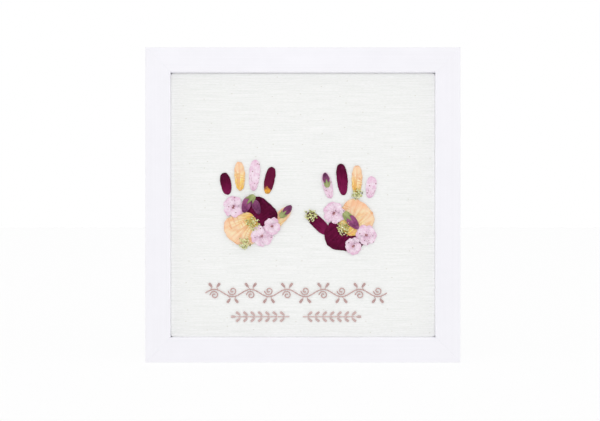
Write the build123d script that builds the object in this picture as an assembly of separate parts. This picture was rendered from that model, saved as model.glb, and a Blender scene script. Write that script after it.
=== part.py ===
from build123d import *
import os
from math import asin, atan2, cos, degrees, dist, hypot, pi, sin, sqrt

# A square, open-fronted frame. A linen-covered board, set a little back in its opening,
# carries a pair of baby handprints in pressed petals, above two rows of stitched ornament.
# Millimetres, +X to the right, +Y from the front to the back, +Z up.
# The origin is the middle of the bottom rail's underside, on which the frame stands.

# Moulding
SIGHT_SIDE = 195.0
FACE_WIDTH = 18.0
RABBET_LAP = 5.0
FRONT_EDGE_RADIUS = 0.5
SIGHT_EDGE_RADIUS = 0.6
REAR_EDGE_RADIUS = 0.8
MITRE_EASE = 0.15

# Linen panel, which stands on the bottom rail inside the sight opening
PANEL_RECESS = 4.0
PANEL_GAP = 0.15
PANEL_CORNER_RADIUS = 1.8
PANEL_EDGE_RADIUS = 0.6
LINEN_THICKNESS = 0.6
LINEN_TURN_IN = 25.0
BOARD_DEPTH = 5.0

# Boards behind the panel, held in the rabbet
STACK_CLEARANCE = 0.8
FILLER_DEPTH = 6.0
BACKING_DEPTH = 3.0
BACKING_RECESS = 0.2

# Corner nails, driven into the mitres from behind
CORNER_NAIL_WALL = 0.6
CORNER_NAIL_DEPTH = 10.0
CORNER_NAIL_COVER = 2.5

# Pan-head screws
SCREW_HEAD_RADIUS = 2.8
SCREW_HEAD_HEIGHT = 1.7
SCREW_HEAD_ROUND = 0.8
SCREW_SHANK_RADIUS = 1.4
SCREW_BITE = 9.0
SCREW_POINT = 2.5
SCREW_RECESS_LENGTH = 3.0
SCREW_RECESS_WIDTH = 0.7
SCREW_RECESS_DEPTH = 0.9
PILOT_CLEARANCE = 0.02

# Turn buttons that hold the backing in
BUTTON_REACH = 19.0
BUTTON_PIVOT_RADIUS = 4.5
BUTTON_TIP_RADIUS = 3.2
BUTTON_THICKNESS = 1.2
BUTTON_RIB_WIDTH = 2.4
BUTTON_RIB_HEIGHT = 0.6
BUTTON_RIB_MARGIN = 1.6
BUTTON_SEAT_GAP = 0.1
RUNNING_CLEARANCE = 0.06

# D-ring hangers
HANGER_DROP = 62.0
STRAP_SHEET = 0.8
STRAP_WIDTH = 6.5
STRAP_TAIL = 4.0
RING_WIRE_RADIUS = 0.9
RING_HALF_WIDTH = 5.2
RING_LEG = 5.0
RING_CORNER_RADIUS = 1.5
RING_LIFT = 0.3
RING_SCREW_GAP = 0.5

# Rubber wall bumpers
BUMPER_RADIUS = 4.8
BUMPER_FACE_RADIUS = 3.8
BUMPER_HEIGHT = 4.2
BUMPER_INSET = 26.0

# Pressed flowers
PETAL_THICKNESS = 0.4
SPRIG_DEPTH = 1.0
SPRIG_LOBES = 9
SPRIG_LOBE_DEPTH = 0.14
FLORET_LOBES = 5
FLORET_LOBE_DEPTH = 0.13
CALYX_LOBES = 3
CALYX_LOBE_DEPTH = 0.24
FINGER_FULLNESS = 0.85
PALM_FULLNESS = 0.95
OUTLINE_STEPS = 16
STEPS_PER_LOBE = 4

# Hands: the place of each palm's middle, seen from the centre of the sight opening
LEFT_HAND_X = -39.5
LEFT_HAND_DROP = 12.0
LEFT_HAND_TURN = -2.0
RIGHT_HAND_X = 34.0
RIGHT_HAND_DROP = 15.0
RIGHT_HAND_TURN = 4.0

# Stitched ornament
STITCH_SHIFT = -5.0
THREAD_WIDTH = 0.9
THREAD_HEIGHT = 0.6
STITCH_GAP = 0.35
STEM_STITCH = 2.9
CURL_STITCH = 1.9
VINE_LENGTH = 134.0
VINE_WAVES = 5
VINE_SWING = 2.8
VINE_DROP = 65.0
CURL_RADIUS = 3.3
CURL_EYE = 0.9
CURL_TURNS = 1.4
CURL_DROP = 1.6
LEAF_LENGTH = 4.4
LEAF_WIDTH = 1.8
LEAF_STANDOFF = 0.9
LEAF_SPLAY = 38.0
SPRAY_LENGTH = 38.0
SPRAY_GAP = 10.0
SPRAY_PAIRS = 7
SPRAY_DROP = 82.5
CURVE_SAMPLES = 400

# Sizes that follow
FRAME_SIDE = SIGHT_SIDE + 2 * FACE_WIDTH
RABBET_SIDE = SIGHT_SIDE + 2 * RABBET_LAP
STACK_SIDE = RABBET_SIDE - 2 * STACK_CLEARANCE
REAR_WOOD = FACE_WIDTH - RABBET_LAP
PIVOT_INSET = REAR_WOOD / 2
CENTRE_Z = FRAME_SIDE / 2
STACK_Z = CENTRE_Z - STACK_CLEARANCE
PANEL_SIDE = SIGHT_SIDE - 2 * PANEL_GAP
PANEL_Z = CENTRE_Z - PANEL_GAP
PANEL_DEPTH = BOARD_DEPTH + 2 * LINEN_THICKNESS
LIP_DEPTH = PANEL_RECESS + PANEL_DEPTH
MOULDING_DEPTH = LIP_DEPTH + FILLER_DEPTH + BACKING_DEPTH + BACKING_RECESS
FRONT_Y = -MOULDING_DEPTH / 2
REAR_Y = MOULDING_DEPTH / 2
LINEN_Y = FRONT_Y + PANEL_RECESS
BOARD_Y = LINEN_Y + LINEN_THICKNESS
FILLER_Y = FRONT_Y + LIP_DEPTH
BACKING_Y = FILLER_Y + FILLER_DEPTH
BUTTON_Y = REAR_Y + BUTTON_SEAT_GAP
BARREL_BORE = RING_WIRE_RADIUS + RUNNING_CLEARANCE
BARREL_RADIUS = BARREL_BORE + STRAP_SHEET
STRAP_DEPTH = 2 * STRAP_SHEET
RING_BAR_Y = REAR_Y + BARREL_RADIUS
RING_BAR_Z = FRAME_SIDE - HANGER_DROP
RING_DROP = RING_LEG + RING_HALF_WIDTH
RING_REST_TILT = degrees(asin((STRAP_DEPTH + RING_WIRE_RADIUS + RING_LIFT - BARREL_RADIUS) / RING_DROP))
STRAP_SCREW_DROP = RING_DROP + RING_WIRE_RADIUS + RING_SCREW_GAP + SCREW_HEAD_RADIUS
STRAP_LENGTH = STRAP_SCREW_DROP + STRAP_TAIL
HANGER_X = FRAME_SIDE / 2 - PIVOT_INSET

# One hand with its thumb to the right, in millimetres from the middle of the palm:
# place across, place up, turn clockwise from upright in degrees, length and width.
FINGERS = {
    "little": (-18.2, 27.0, -12, 17.5, 8.2),
    "ring": (-8.2, 33.0, -5, 23.5, 8.2),
    "middle": (2.6, 34.2, 2, 25.0, 8.4),
    "index": (13.8, 30.6, 9, 21.5, 7.8),
    "thumb": (22.0, 2.5, 42, 24.0, 9.4),
}

# Palm fillings, laid one after another, on the same axes as the fingers:
# kind, place across, place up, turn, length and width.
LEFT_PALM = [
    ("palm_plum_petal", 5.5, 4.0, 38, 28.0, 31.0),
    ("palm_peach_petal", -5.0, -5.0, 212, 26.0, 28.5),
    ("pink_florets", -12.0, 10.0, 20, 16.0, 16.5),
    ("pink_florets", 9.5, -10.5, 65, 17.0, 16.0),
    ("pink_florets", 17.0, -3.0, 10, 12.5, 13.0),
    ("violet_buds", -2.5, 12.0, 195, 13.0, 7.0),
    ("violet_buds", 5.0, 10.5, 160, 11.5, 6.0),
    ("bud_calyxes", 1.0, 16.5, 180, 5.5, 6.5),
    ("umbel_sprigs", 2.5, -1.5, 0, 9.0, 9.5),
    ("umbel_sprigs", -3.0, -16.5, 30, 7.5, 8.5),
    ("violet_buds", 28.0, 9.5, 42, 8.5, 5.6),
    ("bud_calyxes", 24.7, 6.0, 222, 5.0, 5.2),
]
RIGHT_PALM = [
    ("palm_plum_petal", 3.0, -6.0, 170, 27.0, 32.5),
    ("palm_peach_petal", -5.0, 4.5, -42, 27.5, 29.0),
    ("pink_florets", 10.5, 9.5, 35, 16.5, 17.0),
    ("pink_florets", -12.0, -8.0, 5, 16.0, 15.0),
    ("pink_florets", -2.0, -15.5, 50, 12.5, 13.0),
    ("violet_buds", -3.0, 2.0, 215, 13.0, 7.2),
    ("bud_calyxes", 0.8, 7.0, 215, 6.0, 6.5),
    ("umbel_sprigs", 4.5, -2.0, 15, 8.5, 9.5),
    ("umbel_sprigs", 27.5, 9.0, 0, 8.0, 8.5),
    ("umbel_sprigs", -7.5, 22.5, 40, 6.5, 7.0),
    ("violet_buds", 14.6, 36.0, 9, 8.0, 5.2),
    ("bud_calyxes", 14.0, 31.8, 189, 4.6, 4.8),
]

# Outline of each kind of piece: how egg-shaped, how full, its lobes and their depth
PIECE_FORMS = {
    "palm_plum_petal": (0.12, PALM_FULLNESS, 0, 0.0),
    "palm_peach_petal": (0.16, PALM_FULLNESS, 0, 0.0),
    "pink_florets": (0.0, 1.0, FLORET_LOBES, FLORET_LOBE_DEPTH),
    "violet_buds": (-0.22, 1.0, 0, 0.0),
    "bud_calyxes": (0.0, 1.0, CALYX_LOBES, CALYX_LOBE_DEPTH),
    "umbel_sprigs": (0.0, 1.0, SPRIG_LOBES, SPRIG_LOBE_DEPTH),
}
FINGER_EGG = 0.08


# Shared helpers


def slab(width, height, y, depth, x=0.0, z=STACK_Z):
    """A flat board whose front face is at y."""
    return Pos(x, y + depth / 2, z) * Box(width, depth, height)


def around_frame(shape, quarter):
    """A piece of the bottom rail carried to the bottom, left, top or right rail."""
    to_centre = Pos(0, 0, CENTRE_Z)
    return to_centre * Rot(0, 90 * quarter, 0) * to_centre.inverse() * shape


QUARTERS = {"bottom": 0, "left": 1, "top": 2, "right": 3}


# Moulding


def corner_nail():
    """One bent steel wedge across the bottom-left mitre, flush with the back of the wood."""
    leg = REAR_WOOD - 2 * CORNER_NAIL_COVER
    apex = CORNER_NAIL_COVER
    flat = slab(leg, CORNER_NAIL_WALL, 0, CORNER_NAIL_DEPTH, apex + leg / 2, apex + CORNER_NAIL_WALL / 2)
    upright = slab(CORNER_NAIL_WALL, leg, 0, CORNER_NAIL_DEPTH, apex + CORNER_NAIL_WALL / 2, apex + leg / 2)
    return Pos(-FRAME_SIDE / 2, REAR_Y - CORNER_NAIL_DEPTH, 0) * (flat + upright)


def rail_section():
    """The moulding's section: a tall back, and a lip in front of the boards."""
    points = [
        (FRONT_Y, 0),
        (REAR_Y, 0),
        (REAR_Y, REAR_WOOD),
        (FILLER_Y, REAR_WOOD),
        (FILLER_Y, FACE_WIDTH),
        (FRONT_Y, FACE_WIDTH),
    ]
    section = make_face(Polyline(*points, close=True))
    rounds = {points[0]: FRONT_EDGE_RADIUS, points[1]: REAR_EDGE_RADIUS, points[5]: SIGHT_EDGE_RADIUS}
    for corner, radius in rounds.items():
        vertex = section.vertices().sort_by_distance(Vector(*corner))[0]
        section = fillet(vertex, radius)
    return section


def bottom_rail():
    """The bottom rail, cut to 45 degrees at both ends."""
    half = FRAME_SIDE / 2
    bar = extrude(Plane.YZ.offset(-half) * rail_section(), FRAME_SIDE)
    mitred = make_face(
        Polyline((-half, 0), (half, 0), (half - FACE_WIDTH, FACE_WIDTH), (-half + FACE_WIDTH, FACE_WIDTH), close=True)
    )
    return bar & extrude(Plane.XZ * mitred, MOULDING_DEPTH, both=True)


def mitre_groove():
    """The fine groove that shows the bottom-left mitre on the front."""
    side = MITRE_EASE * sqrt(2)
    bar = Rot(0, -45, 0) * Rot(45, 0, 0) * Box(4 * FACE_WIDTH, side, side)
    return Pos(-FRAME_SIDE / 2, FRONT_Y, 0) * bar


def rails():
    """Four rails, with the slots and pilot holes of everything driven into them."""
    nails = [around_frame(corner_nail(), quarter) for quarter in QUARTERS.values()]
    grooves = [around_frame(mitre_groove(), quarter) for quarter in QUARTERS.values()]
    pilots = [pilot(place) for place in screw_places()]
    made = {}
    for name, quarter in QUARTERS.items():
        rail = around_frame(bottom_rail(), quarter)
        for cut in nails + grooves + pilots:
            rail = rail - cut
        made[f"{name}_rail"] = rail
    made["corner_nails"] = Compound(nails)
    return made


# Linen panel and the boards behind it


def linen_panel():
    """The linen round its board: face, four edges and the turned-in margins behind."""
    inner = PANEL_SIDE - 2 * LINEN_THICKNESS
    window = inner - 2 * LINEN_TURN_IN
    board = slab(inner, inner, BOARD_Y, BOARD_DEPTH, z=PANEL_Z)
    board = fillet(board.edges().filter_by(Axis.Y), PANEL_CORNER_RADIUS - LINEN_THICKNESS)
    wrapped = slab(PANEL_SIDE, PANEL_SIDE, LINEN_Y, PANEL_DEPTH, z=PANEL_Z)
    wrapped = fillet(wrapped.edges().filter_by(Axis.Y), PANEL_CORNER_RADIUS)
    wrapped = fillet(wrapped.edges().group_by(Axis.Y)[0], PANEL_EDGE_RADIUS)
    cloth = wrapped - board - slab(window, window, BOARD_Y + BOARD_DEPTH, LINEN_THICKNESS, z=PANEL_Z)
    return {"linen_cover": cloth, "mount_board": board}


def boards():
    """The filler that the panel is glued to, and the hardboard that closes the back."""
    return {
        "filler_board": slab(STACK_SIDE, STACK_SIDE, FILLER_Y, FILLER_DEPTH),
        "backing_board": slab(STACK_SIDE, STACK_SIDE, BACKING_Y, BACKING_DEPTH),
    }


# Screws, turn buttons, hangers and bumpers


def screw_places():
    """Where each screw goes in: its place across and up, and how far its head stands off the wood."""
    button_seat = 2 * BUTTON_SEAT_GAP + BUTTON_THICKNESS
    reach = FRAME_SIDE / 2 - PIVOT_INSET
    buttons = [
        (0, CENTRE_Z - reach, button_seat),
        (-reach, CENTRE_Z, button_seat),
        (0, CENTRE_Z + reach, button_seat),
        (reach, CENTRE_Z, button_seat),
    ]
    straps = [(sign * HANGER_X, RING_BAR_Z - STRAP_SCREW_DROP, STRAP_DEPTH) for sign in (-1, 1)]
    return buttons + straps


def facing_back(shape, x, y, z):
    """A piece made standing on +Z, turned so that it stands out of the back."""
    return Pos(x, y, z) * Rot(-90, 0, 0) * shape


def pan_head_screw(grip):
    """A pointed wood screw with a crossed recess. Its head's underside is at height grip."""
    head = Pos(0, 0, grip + SCREW_HEAD_HEIGHT / 2) * Cylinder(SCREW_HEAD_RADIUS, SCREW_HEAD_HEIGHT)
    head = fillet(head.edges().group_by(Axis.Z)[-1], SCREW_HEAD_ROUND)
    recess_z = grip + SCREW_HEAD_HEIGHT - SCREW_RECESS_DEPTH / 2
    for turn in (0, 90):
        slot = Box(SCREW_RECESS_LENGTH, SCREW_RECESS_WIDTH, SCREW_RECESS_DEPTH)
        head = head - Pos(0, 0, recess_z) * Rot(0, 0, turn) * slot
    plain = SCREW_BITE - SCREW_POINT + grip
    shank = Pos(0, 0, grip - plain / 2) * Cylinder(SCREW_SHANK_RADIUS, plain)
    point = Pos(0, 0, -SCREW_BITE + SCREW_POINT / 2) * Rot(180, 0, 0) * Cone(SCREW_SHANK_RADIUS, 0, SCREW_POINT)
    return head + shank + point


def pilot(place):
    """The hole in the wood for the screw at that place."""
    x, z, _ = place
    hole = Pos(0, 0, -SCREW_BITE / 2) * Cylinder(SCREW_SHANK_RADIUS + PILOT_CLEARANCE, SCREW_BITE)
    return facing_back(hole, x, REAR_Y, z)


def screws():
    placed = [facing_back(pan_head_screw(grip), x, REAR_Y, z) for x, z, grip in screw_places()]
    return {"turn_button_screws": Compound(placed[:4]), "hanger_screws": Compound(placed[4:])}


def turn_button():
    """One steel button over the bottom rail's screw, its arm across the edge of the backing."""
    arm_length = BUTTON_REACH - BUTTON_TIP_RADIUS
    ends = Circle(BUTTON_PIVOT_RADIUS).edges() + (Pos(0, -arm_length) * Circle(BUTTON_TIP_RADIUS)).edges()
    plate = extrude(make_hull(ends), BUTTON_THICKNESS)
    rib_start = SCREW_HEAD_RADIUS + BUTTON_RIB_MARGIN
    rib_length = BUTTON_REACH - rib_start - BUTTON_RIB_MARGIN
    rib_plan = Pos(0, -rib_start - rib_length / 2) * SlotOverall(rib_length, BUTTON_RIB_WIDTH, rotation=90)
    rib = Pos(0, 0, BUTTON_THICKNESS) * extrude(rib_plan, BUTTON_RIB_HEIGHT)
    hole = Cylinder(SCREW_SHANK_RADIUS + RUNNING_CLEARANCE, 4 * BUTTON_THICKNESS)
    return facing_back(plate + rib - hole, 0, BUTTON_Y, PIVOT_INSET)


def hanger_strap(x):
    """A strip folded round the ring's bar, its two leaves held by one screw."""
    leaves = Pos(REAR_Y + STRAP_DEPTH / 2, RING_BAR_Z - STRAP_LENGTH / 2) * Rectangle(STRAP_DEPTH, STRAP_LENGTH)
    barrel = Pos(RING_BAR_Y, RING_BAR_Z) * Circle(BARREL_RADIUS)
    bore = Pos(RING_BAR_Y, RING_BAR_Z) * Circle(BARREL_BORE)
    strap = extrude(Plane.YZ.offset(-STRAP_WIDTH / 2) * (leaves + barrel - bore), STRAP_WIDTH)
    tail_corners = strap.edges().filter_by(Axis.Y).group_by(Axis.Z)[0]
    strap = fillet(tail_corners, STRAP_WIDTH / 2 - STRAP_SHEET)
    hole = Cylinder(SCREW_SHANK_RADIUS + RUNNING_CLEARANCE, 4 * STRAP_DEPTH)
    return Pos(x, 0, 0) * (strap - facing_back(hole, 0, REAR_Y, RING_BAR_Z - STRAP_SCREW_DROP))


def hanger_ring(x):
    """A wire D hanging from its strap, just clear of the leaves."""
    half = RING_HALF_WIDTH
    bar_and_legs = Polyline((-half, -RING_LEG), (-half, 0), (half, 0), (half, -RING_LEG))
    bow = ThreePointArc((half, -RING_LEG), (0, -RING_DROP), (-half, -RING_LEG))
    outline = make_face(bar_and_legs.edges() + bow.edges())
    outline = fillet(outline.vertices().group_by(Axis.Y)[-1], RING_CORNER_RADIUS)
    path = (Plane.XZ * outline).face().outer_wire()
    wire = sweep(Plane(path @ 0, z_dir=path % 0) * Circle(RING_WIRE_RADIUS), path=path)
    return Pos(x, RING_BAR_Y, RING_BAR_Z) * Rot(RING_REST_TILT, 0, 0) * wire


def bumpers():
    """Two rubber feet that keep the bottom of the frame off the wall."""
    cone = Cone(BUMPER_RADIUS, BUMPER_FACE_RADIUS, BUMPER_HEIGHT)
    standing = Pos(0, 0, BUMPER_HEIGHT / 2) * cone
    places = [sign * (FRAME_SIDE / 2 - BUMPER_INSET) for sign in (-1, 1)]
    return {"wall_bumpers": Compound([facing_back(standing, x, REAR_Y, PIVOT_INSET) for x in places])}


def rear_fittings():
    made = {f"turn_button_{name}": around_frame(turn_button(), quarter) for name, quarter in QUARTERS.items()}
    for name, sign in (("left", -1), ("right", 1)):
        made[f"hanger_strap_{name}"] = hanger_strap(sign * HANGER_X)
        made[f"hanger_ring_{name}"] = hanger_ring(sign * HANGER_X)
    return made


# Pressed flowers


def power(value, exponent):
    """A signed power, which makes an ellipse fuller below 1."""
    return abs(value) ** exponent * (1 if value >= 0 else -1)


def flower_outline(length, width, egg, fullness, lobes, lobe_depth):
    """A closed, rounded outline on its middle, its tip at +Y, wider there if egg is above 0."""
    steps = lobes * STEPS_PER_LOBE or OUTLINE_STEPS
    points = []
    for step in range(steps):
        angle = 2 * pi * step / steps
        swell = 1 + lobe_depth * cos(lobes * (angle - pi / 2))
        across = width / 2 * power(cos(angle), fullness) * (1 + egg * sin(angle)) * swell
        along = length / 2 * power(sin(angle), fullness) * swell
        points.append((across, along))
    return make_face(Spline(*points, periodic=True))


def lie(plan, base, thickness):
    """A flat piece laid on the linen's face, base above it."""
    return extrude(Plane.XZ.offset(-LINEN_Y + base) * plan, thickness)


def lay(plan, thickness, laid):
    """The same, on top of everything already laid that it overlaps."""
    base = max((top for other, top in laid if overlaps(plan, other)), default=0.0)
    laid.append((plan, base + thickness))
    return lie(plan, base, thickness)


def overlaps(plan, other):
    box, other_box = plan.bounding_box(), other.bounding_box()
    if box.min.X > other_box.max.X or other_box.min.X > box.max.X:
        return False
    if box.min.Y > other_box.max.Y or other_box.min.Y > box.max.Y:
        return False
    common = plan & other
    return common is not None and sum(face.area for face in common.faces()) > 0


def handprint(side, mirror, middle, palm):
    """One hand: five finger petals, then the palm's fillings, each group a named node."""
    laid = []
    groups = {}

    def place(node, x, z, tilt, form, thickness):
        plan = middle * Pos(mirror * x, z) * Rot(0, 0, -mirror * tilt) * flower_outline(*form)
        groups.setdefault(f"{side}_{node}", []).append(lay(plan, thickness, laid))

    for finger, (x, z, tilt, length, width) in FINGERS.items():
        form = (length, width, FINGER_EGG, FINGER_FULLNESS, 0, 0.0)
        place(f"{finger}_petal", x, z, tilt, form, PETAL_THICKNESS)
    for kind, x, z, tilt, length, width in palm:
        thickness = SPRIG_DEPTH if kind == "umbel_sprigs" else PETAL_THICKNESS
        place(kind, x, z, tilt, (length, width, *PIECE_FORMS[kind]), thickness)
    return {name: Compound(pieces) for name, pieces in groups.items()}


def handprints():
    left = Pos(LEFT_HAND_X, CENTRE_Z - LEFT_HAND_DROP) * Rot(0, 0, LEFT_HAND_TURN)
    right = Pos(RIGHT_HAND_X, CENTRE_Z - RIGHT_HAND_DROP) * Rot(0, 0, RIGHT_HAND_TURN)
    return {**handprint("left", 1, left, LEFT_PALM), **handprint("right", -1, right, RIGHT_PALM)}


# Stitched ornament


def stitched(curve, stitch_length, first=0.0, last=1.0):
    """Back stitches of even length along a curve, with a small gap between them."""
    samples = [curve(first + (last - first) * k / CURVE_SAMPLES) for k in range(CURVE_SAMPLES + 1)]
    runs = [0.0]
    for start, end in zip(samples, samples[1:]):
        runs.append(runs[-1] + dist(start, end))
    count = max(1, round(runs[-1] / stitch_length))
    ends = []
    for k in range(count + 1):
        reach = runs[-1] * k / count
        ends.append(samples[min(range(len(runs)), key=lambda i: abs(runs[i] - reach))])
    return [one_stitch(start, end) for start, end in zip(ends, ends[1:])]


def one_stitch(start, end):
    across, up = end[0] - start[0], end[1] - start[1]
    length = hypot(across, up) - STITCH_GAP
    middle = Pos((start[0] + end[0]) / 2, (start[1] + end[1]) / 2)
    plan = middle * Rot(0, 0, degrees(atan2(up, across))) * SlotOverall(length, THREAD_WIDTH)
    return lie(plan, 0.0, THREAD_HEIGHT)


def satin_leaf(root, heading):
    """A leaf of satin stitch that stands off its root, pointing along heading in degrees."""
    plan = Pos(*root) * Rot(0, 0, heading - 90) * Pos(0, LEAF_STANDOFF + LEAF_LENGTH / 2)
    return lie(plan * flower_outline(LEAF_LENGTH, LEAF_WIDTH, 0.0, 1.15, 0, 0.0), 0.0, THREAD_HEIGHT)


def vine():
    """A running vine: a waving stem, a curl in each hollow and two leaves on each crest."""
    level = CENTRE_Z - VINE_DROP
    half_wave = VINE_LENGTH / VINE_WAVES / 2

    def stem(t):
        swing = VINE_SWING * sin(2 * pi * VINE_WAVES * t)
        return (STITCH_SHIFT + VINE_LENGTH * (t - 0.5), level + swing)

    pieces = stitched(stem, STEM_STITCH)
    for k in range(2 * VINE_WAVES):
        side = 1 if k % 2 == 0 else -1
        crest = stem((k + 0.5) * half_wave / VINE_LENGTH)
        eye = (crest[0], level - side * CURL_DROP)

        def curl(t, eye=eye, side=side):
            radius = CURL_RADIUS + (CURL_EYE - CURL_RADIUS) * t
            angle = pi - 2 * pi * CURL_TURNS * t
            return (eye[0] + radius * cos(angle), eye[1] + side * radius * sin(angle))

        pieces += stitched(curl, CURL_STITCH)
        for lean in (-1, 1):
            root = (crest[0] + lean * LEAF_WIDTH / 2, crest[1] + side * THREAD_WIDTH / 2)
            pieces.append(satin_leaf(root, side * 90 - side * lean * LEAF_SPLAY))
    return pieces


def spray(sign):
    """A straight sprig of paired leaves that points outwards from the middle."""
    level = CENTRE_Z - SPRAY_DROP
    start = STITCH_SHIFT + sign * SPRAY_GAP / 2

    def stem(t):
        return (start + sign * SPRAY_LENGTH * t, level)

    outward = 0 if sign > 0 else 180
    pieces = stitched(stem, STEM_STITCH)
    for pair in range(SPRAY_PAIRS):
        across, up = stem((pair + 0.5) / SPRAY_PAIRS)
        for side in (-1, 1):
            root = (across, up + side * THREAD_WIDTH / 2)
            pieces.append(satin_leaf(root, outward + sign * side * LEAF_SPLAY))
    pieces.append(satin_leaf(stem(1), outward))
    return pieces


def embroidery():
    return {"stitched_vine": Compound(vine()), "stitched_sprays": Compound(spray(-1) + spray(1))}


def assembly():
    """Every node of the frame by name."""
    return {
        **rails(),
        **linen_panel(),
        **boards(),
        **screws(),
        **rear_fittings(),
        **bumpers(),
        **handprints(),
        **embroidery(),
    }


def main():
    os.makedirs("parts", exist_ok=True)
    nodes = assembly()
    for name, shape in nodes.items():
        export_step(shape, f"parts/{name}.step")
    print(f"{len(nodes)} nodes, {FRAME_SIDE:g} mm square and {MOULDING_DEPTH:g} mm deep")


if __name__ == "__main__":
    main()
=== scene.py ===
# %% [markdown]
# # A baby handprint frame
#
# The object is a square, white frame with an open front. A linen panel, set a little back in its
# opening, carries two small handprints laid in pressed petals, and two rows of stitched ornament.
# The CAD model already has every piece at its true size and place, so this lesson only
# dresses it: the hard pieces keep their CAD shape and get a finish, and the soft pieces,
# which are cloth, petals and thread, are made again with the detail that they have in life.

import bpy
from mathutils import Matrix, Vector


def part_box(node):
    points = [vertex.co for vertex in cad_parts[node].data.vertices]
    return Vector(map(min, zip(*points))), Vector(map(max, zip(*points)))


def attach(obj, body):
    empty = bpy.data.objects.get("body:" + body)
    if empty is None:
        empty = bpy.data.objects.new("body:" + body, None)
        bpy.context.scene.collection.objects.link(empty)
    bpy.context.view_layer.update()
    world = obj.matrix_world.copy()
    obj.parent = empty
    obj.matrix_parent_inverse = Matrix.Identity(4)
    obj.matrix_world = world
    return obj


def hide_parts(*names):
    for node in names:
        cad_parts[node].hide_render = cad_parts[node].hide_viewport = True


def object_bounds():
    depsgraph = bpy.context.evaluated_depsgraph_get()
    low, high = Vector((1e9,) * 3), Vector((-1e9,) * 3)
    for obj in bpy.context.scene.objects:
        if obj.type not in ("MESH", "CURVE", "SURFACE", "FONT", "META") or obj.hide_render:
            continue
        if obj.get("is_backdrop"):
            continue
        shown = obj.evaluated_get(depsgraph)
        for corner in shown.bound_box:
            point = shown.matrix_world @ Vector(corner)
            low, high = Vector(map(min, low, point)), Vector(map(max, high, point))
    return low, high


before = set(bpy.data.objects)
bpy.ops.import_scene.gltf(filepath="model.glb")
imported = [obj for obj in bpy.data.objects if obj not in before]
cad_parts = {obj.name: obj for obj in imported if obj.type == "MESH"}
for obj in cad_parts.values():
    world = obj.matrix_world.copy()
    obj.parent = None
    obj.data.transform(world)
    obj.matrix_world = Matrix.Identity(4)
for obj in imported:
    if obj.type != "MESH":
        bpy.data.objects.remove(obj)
cad_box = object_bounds()

# %% [markdown]
# ## The camera
#
# The photograph looks straight at the frame, so the camera is level and square to it.
# One measure is enough to place it: the clear opening is 266.3 pixels wide in a picture of
# 600, and its middle lies a little right of and above the picture's middle. A distance of half
# a metre shows as much of the inner walls as the photograph does.

# %% Camera
import math

import bpy

PICTURE_WIDTH, PICTURE_HEIGHT = 600, 421
OPENING_PIXELS = 266.3
OPENING_MIDDLE = (302.9, 204.9)
CAMERA_DISTANCE = 0.5

opening_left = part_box("left_rail")[1].x
opening_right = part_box("right_rail")[0].x
opening_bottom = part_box("bottom_rail")[1].z
opening_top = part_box("top_rail")[0].z
front_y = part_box("bottom_rail")[0].y
middle_z = (opening_bottom + opening_top) / 2
pixel = (opening_right - opening_left) / OPENING_PIXELS


def link(thing):
    """Put an object in the scene."""
    bpy.context.scene.collection.objects.link(thing)
    return thing


camera = link(bpy.data.objects.new("camera", bpy.data.cameras.new("camera")))
camera.location = (
    (PICTURE_WIDTH / 2 - OPENING_MIDDLE[0]) * pixel,
    front_y - CAMERA_DISTANCE,
    middle_z + (OPENING_MIDDLE[1] - PICTURE_HEIGHT / 2) * pixel,
)
camera.rotation_euler = (math.pi / 2, 0, 0)
camera.data.lens = camera.data.sensor_width * CAMERA_DISTANCE / (PICTURE_WIDTH * pixel)
bpy.context.scene.camera = camera
print(f"camera lens {camera.data.lens:.1f} mm, one pixel is {pixel * 1000:.3f} mm at the front")

# %% [markdown]
# ## Node helpers
#
# Finishes, the sky and the geometry trees are all node trees, and a few helpers keep them
# readable. One adds a node and fills its sockets: a socket that is given another socket
# gets a link, and one that is given a number or a colour gets that value. The others are
# short names for the nodes that most trees use.

# %% Node helpers


def add(tree, kind, inputs=None, **settings):
    """Add a node, set its properties, and fill its sockets with values or links."""
    made = tree.nodes.new(kind)
    for name, value in settings.items():
        setattr(made, name, value)
    for name, value in (inputs or {}).items():
        if isinstance(value, bpy.types.NodeSocket):
            tree.links.new(value, made.inputs[name])
        else:
            made.inputs[name].default_value = value
    return made


def out(tree, kind, inputs=None, **settings):
    """The first output of a new node."""
    return add(tree, kind, inputs, **settings).outputs[0]


def calc(tree, operation, *values):
    """One Math node's result."""
    return out(tree, "ShaderNodeMath", dict(enumerate(values)), operation=operation)


def measure(tree, operation, *values):
    """One Vector Math node's result where that is a number."""
    made = add(tree, "ShaderNodeVectorMath", dict(enumerate(values)), operation=operation)
    return made.outputs["Value"]


def axes_of(tree, place):
    """The X, Y and Z of a vector."""
    return add(tree, "ShaderNodeSeparateXYZ", {0: place}).outputs


def span(tree, value, low, high, to_low=0.0, to_high=1.0):
    """A value's range carried to another, and held at its ends."""
    return out(tree, "ShaderNodeMapRange", {
        "Value": value, "From Min": low, "From Max": high, "To Min": to_low, "To Max": to_high,
    })


print("node helpers ready")

# %% [markdown]
# ## Light and floor
#
# The photograph has soft studio light on pure white, and almost none of it casts a shadow. The
# sky here is like a light tent that is open behind the object. In front it grows brighter towards
# the sides, which lights the narrow walls inside the opening. Behind it grows darker towards the
# sides, so the outside of a white frame still stands out from white. What the camera sees of the
# sky is plain white. A lamp high behind the camera lets threads and folds stand out, and adds a
# hint of shadow under the petals. The floor is a thin pale film, mostly see-through, so it stays
# as white as the rest and keeps a faint shadow under the frame.

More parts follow.
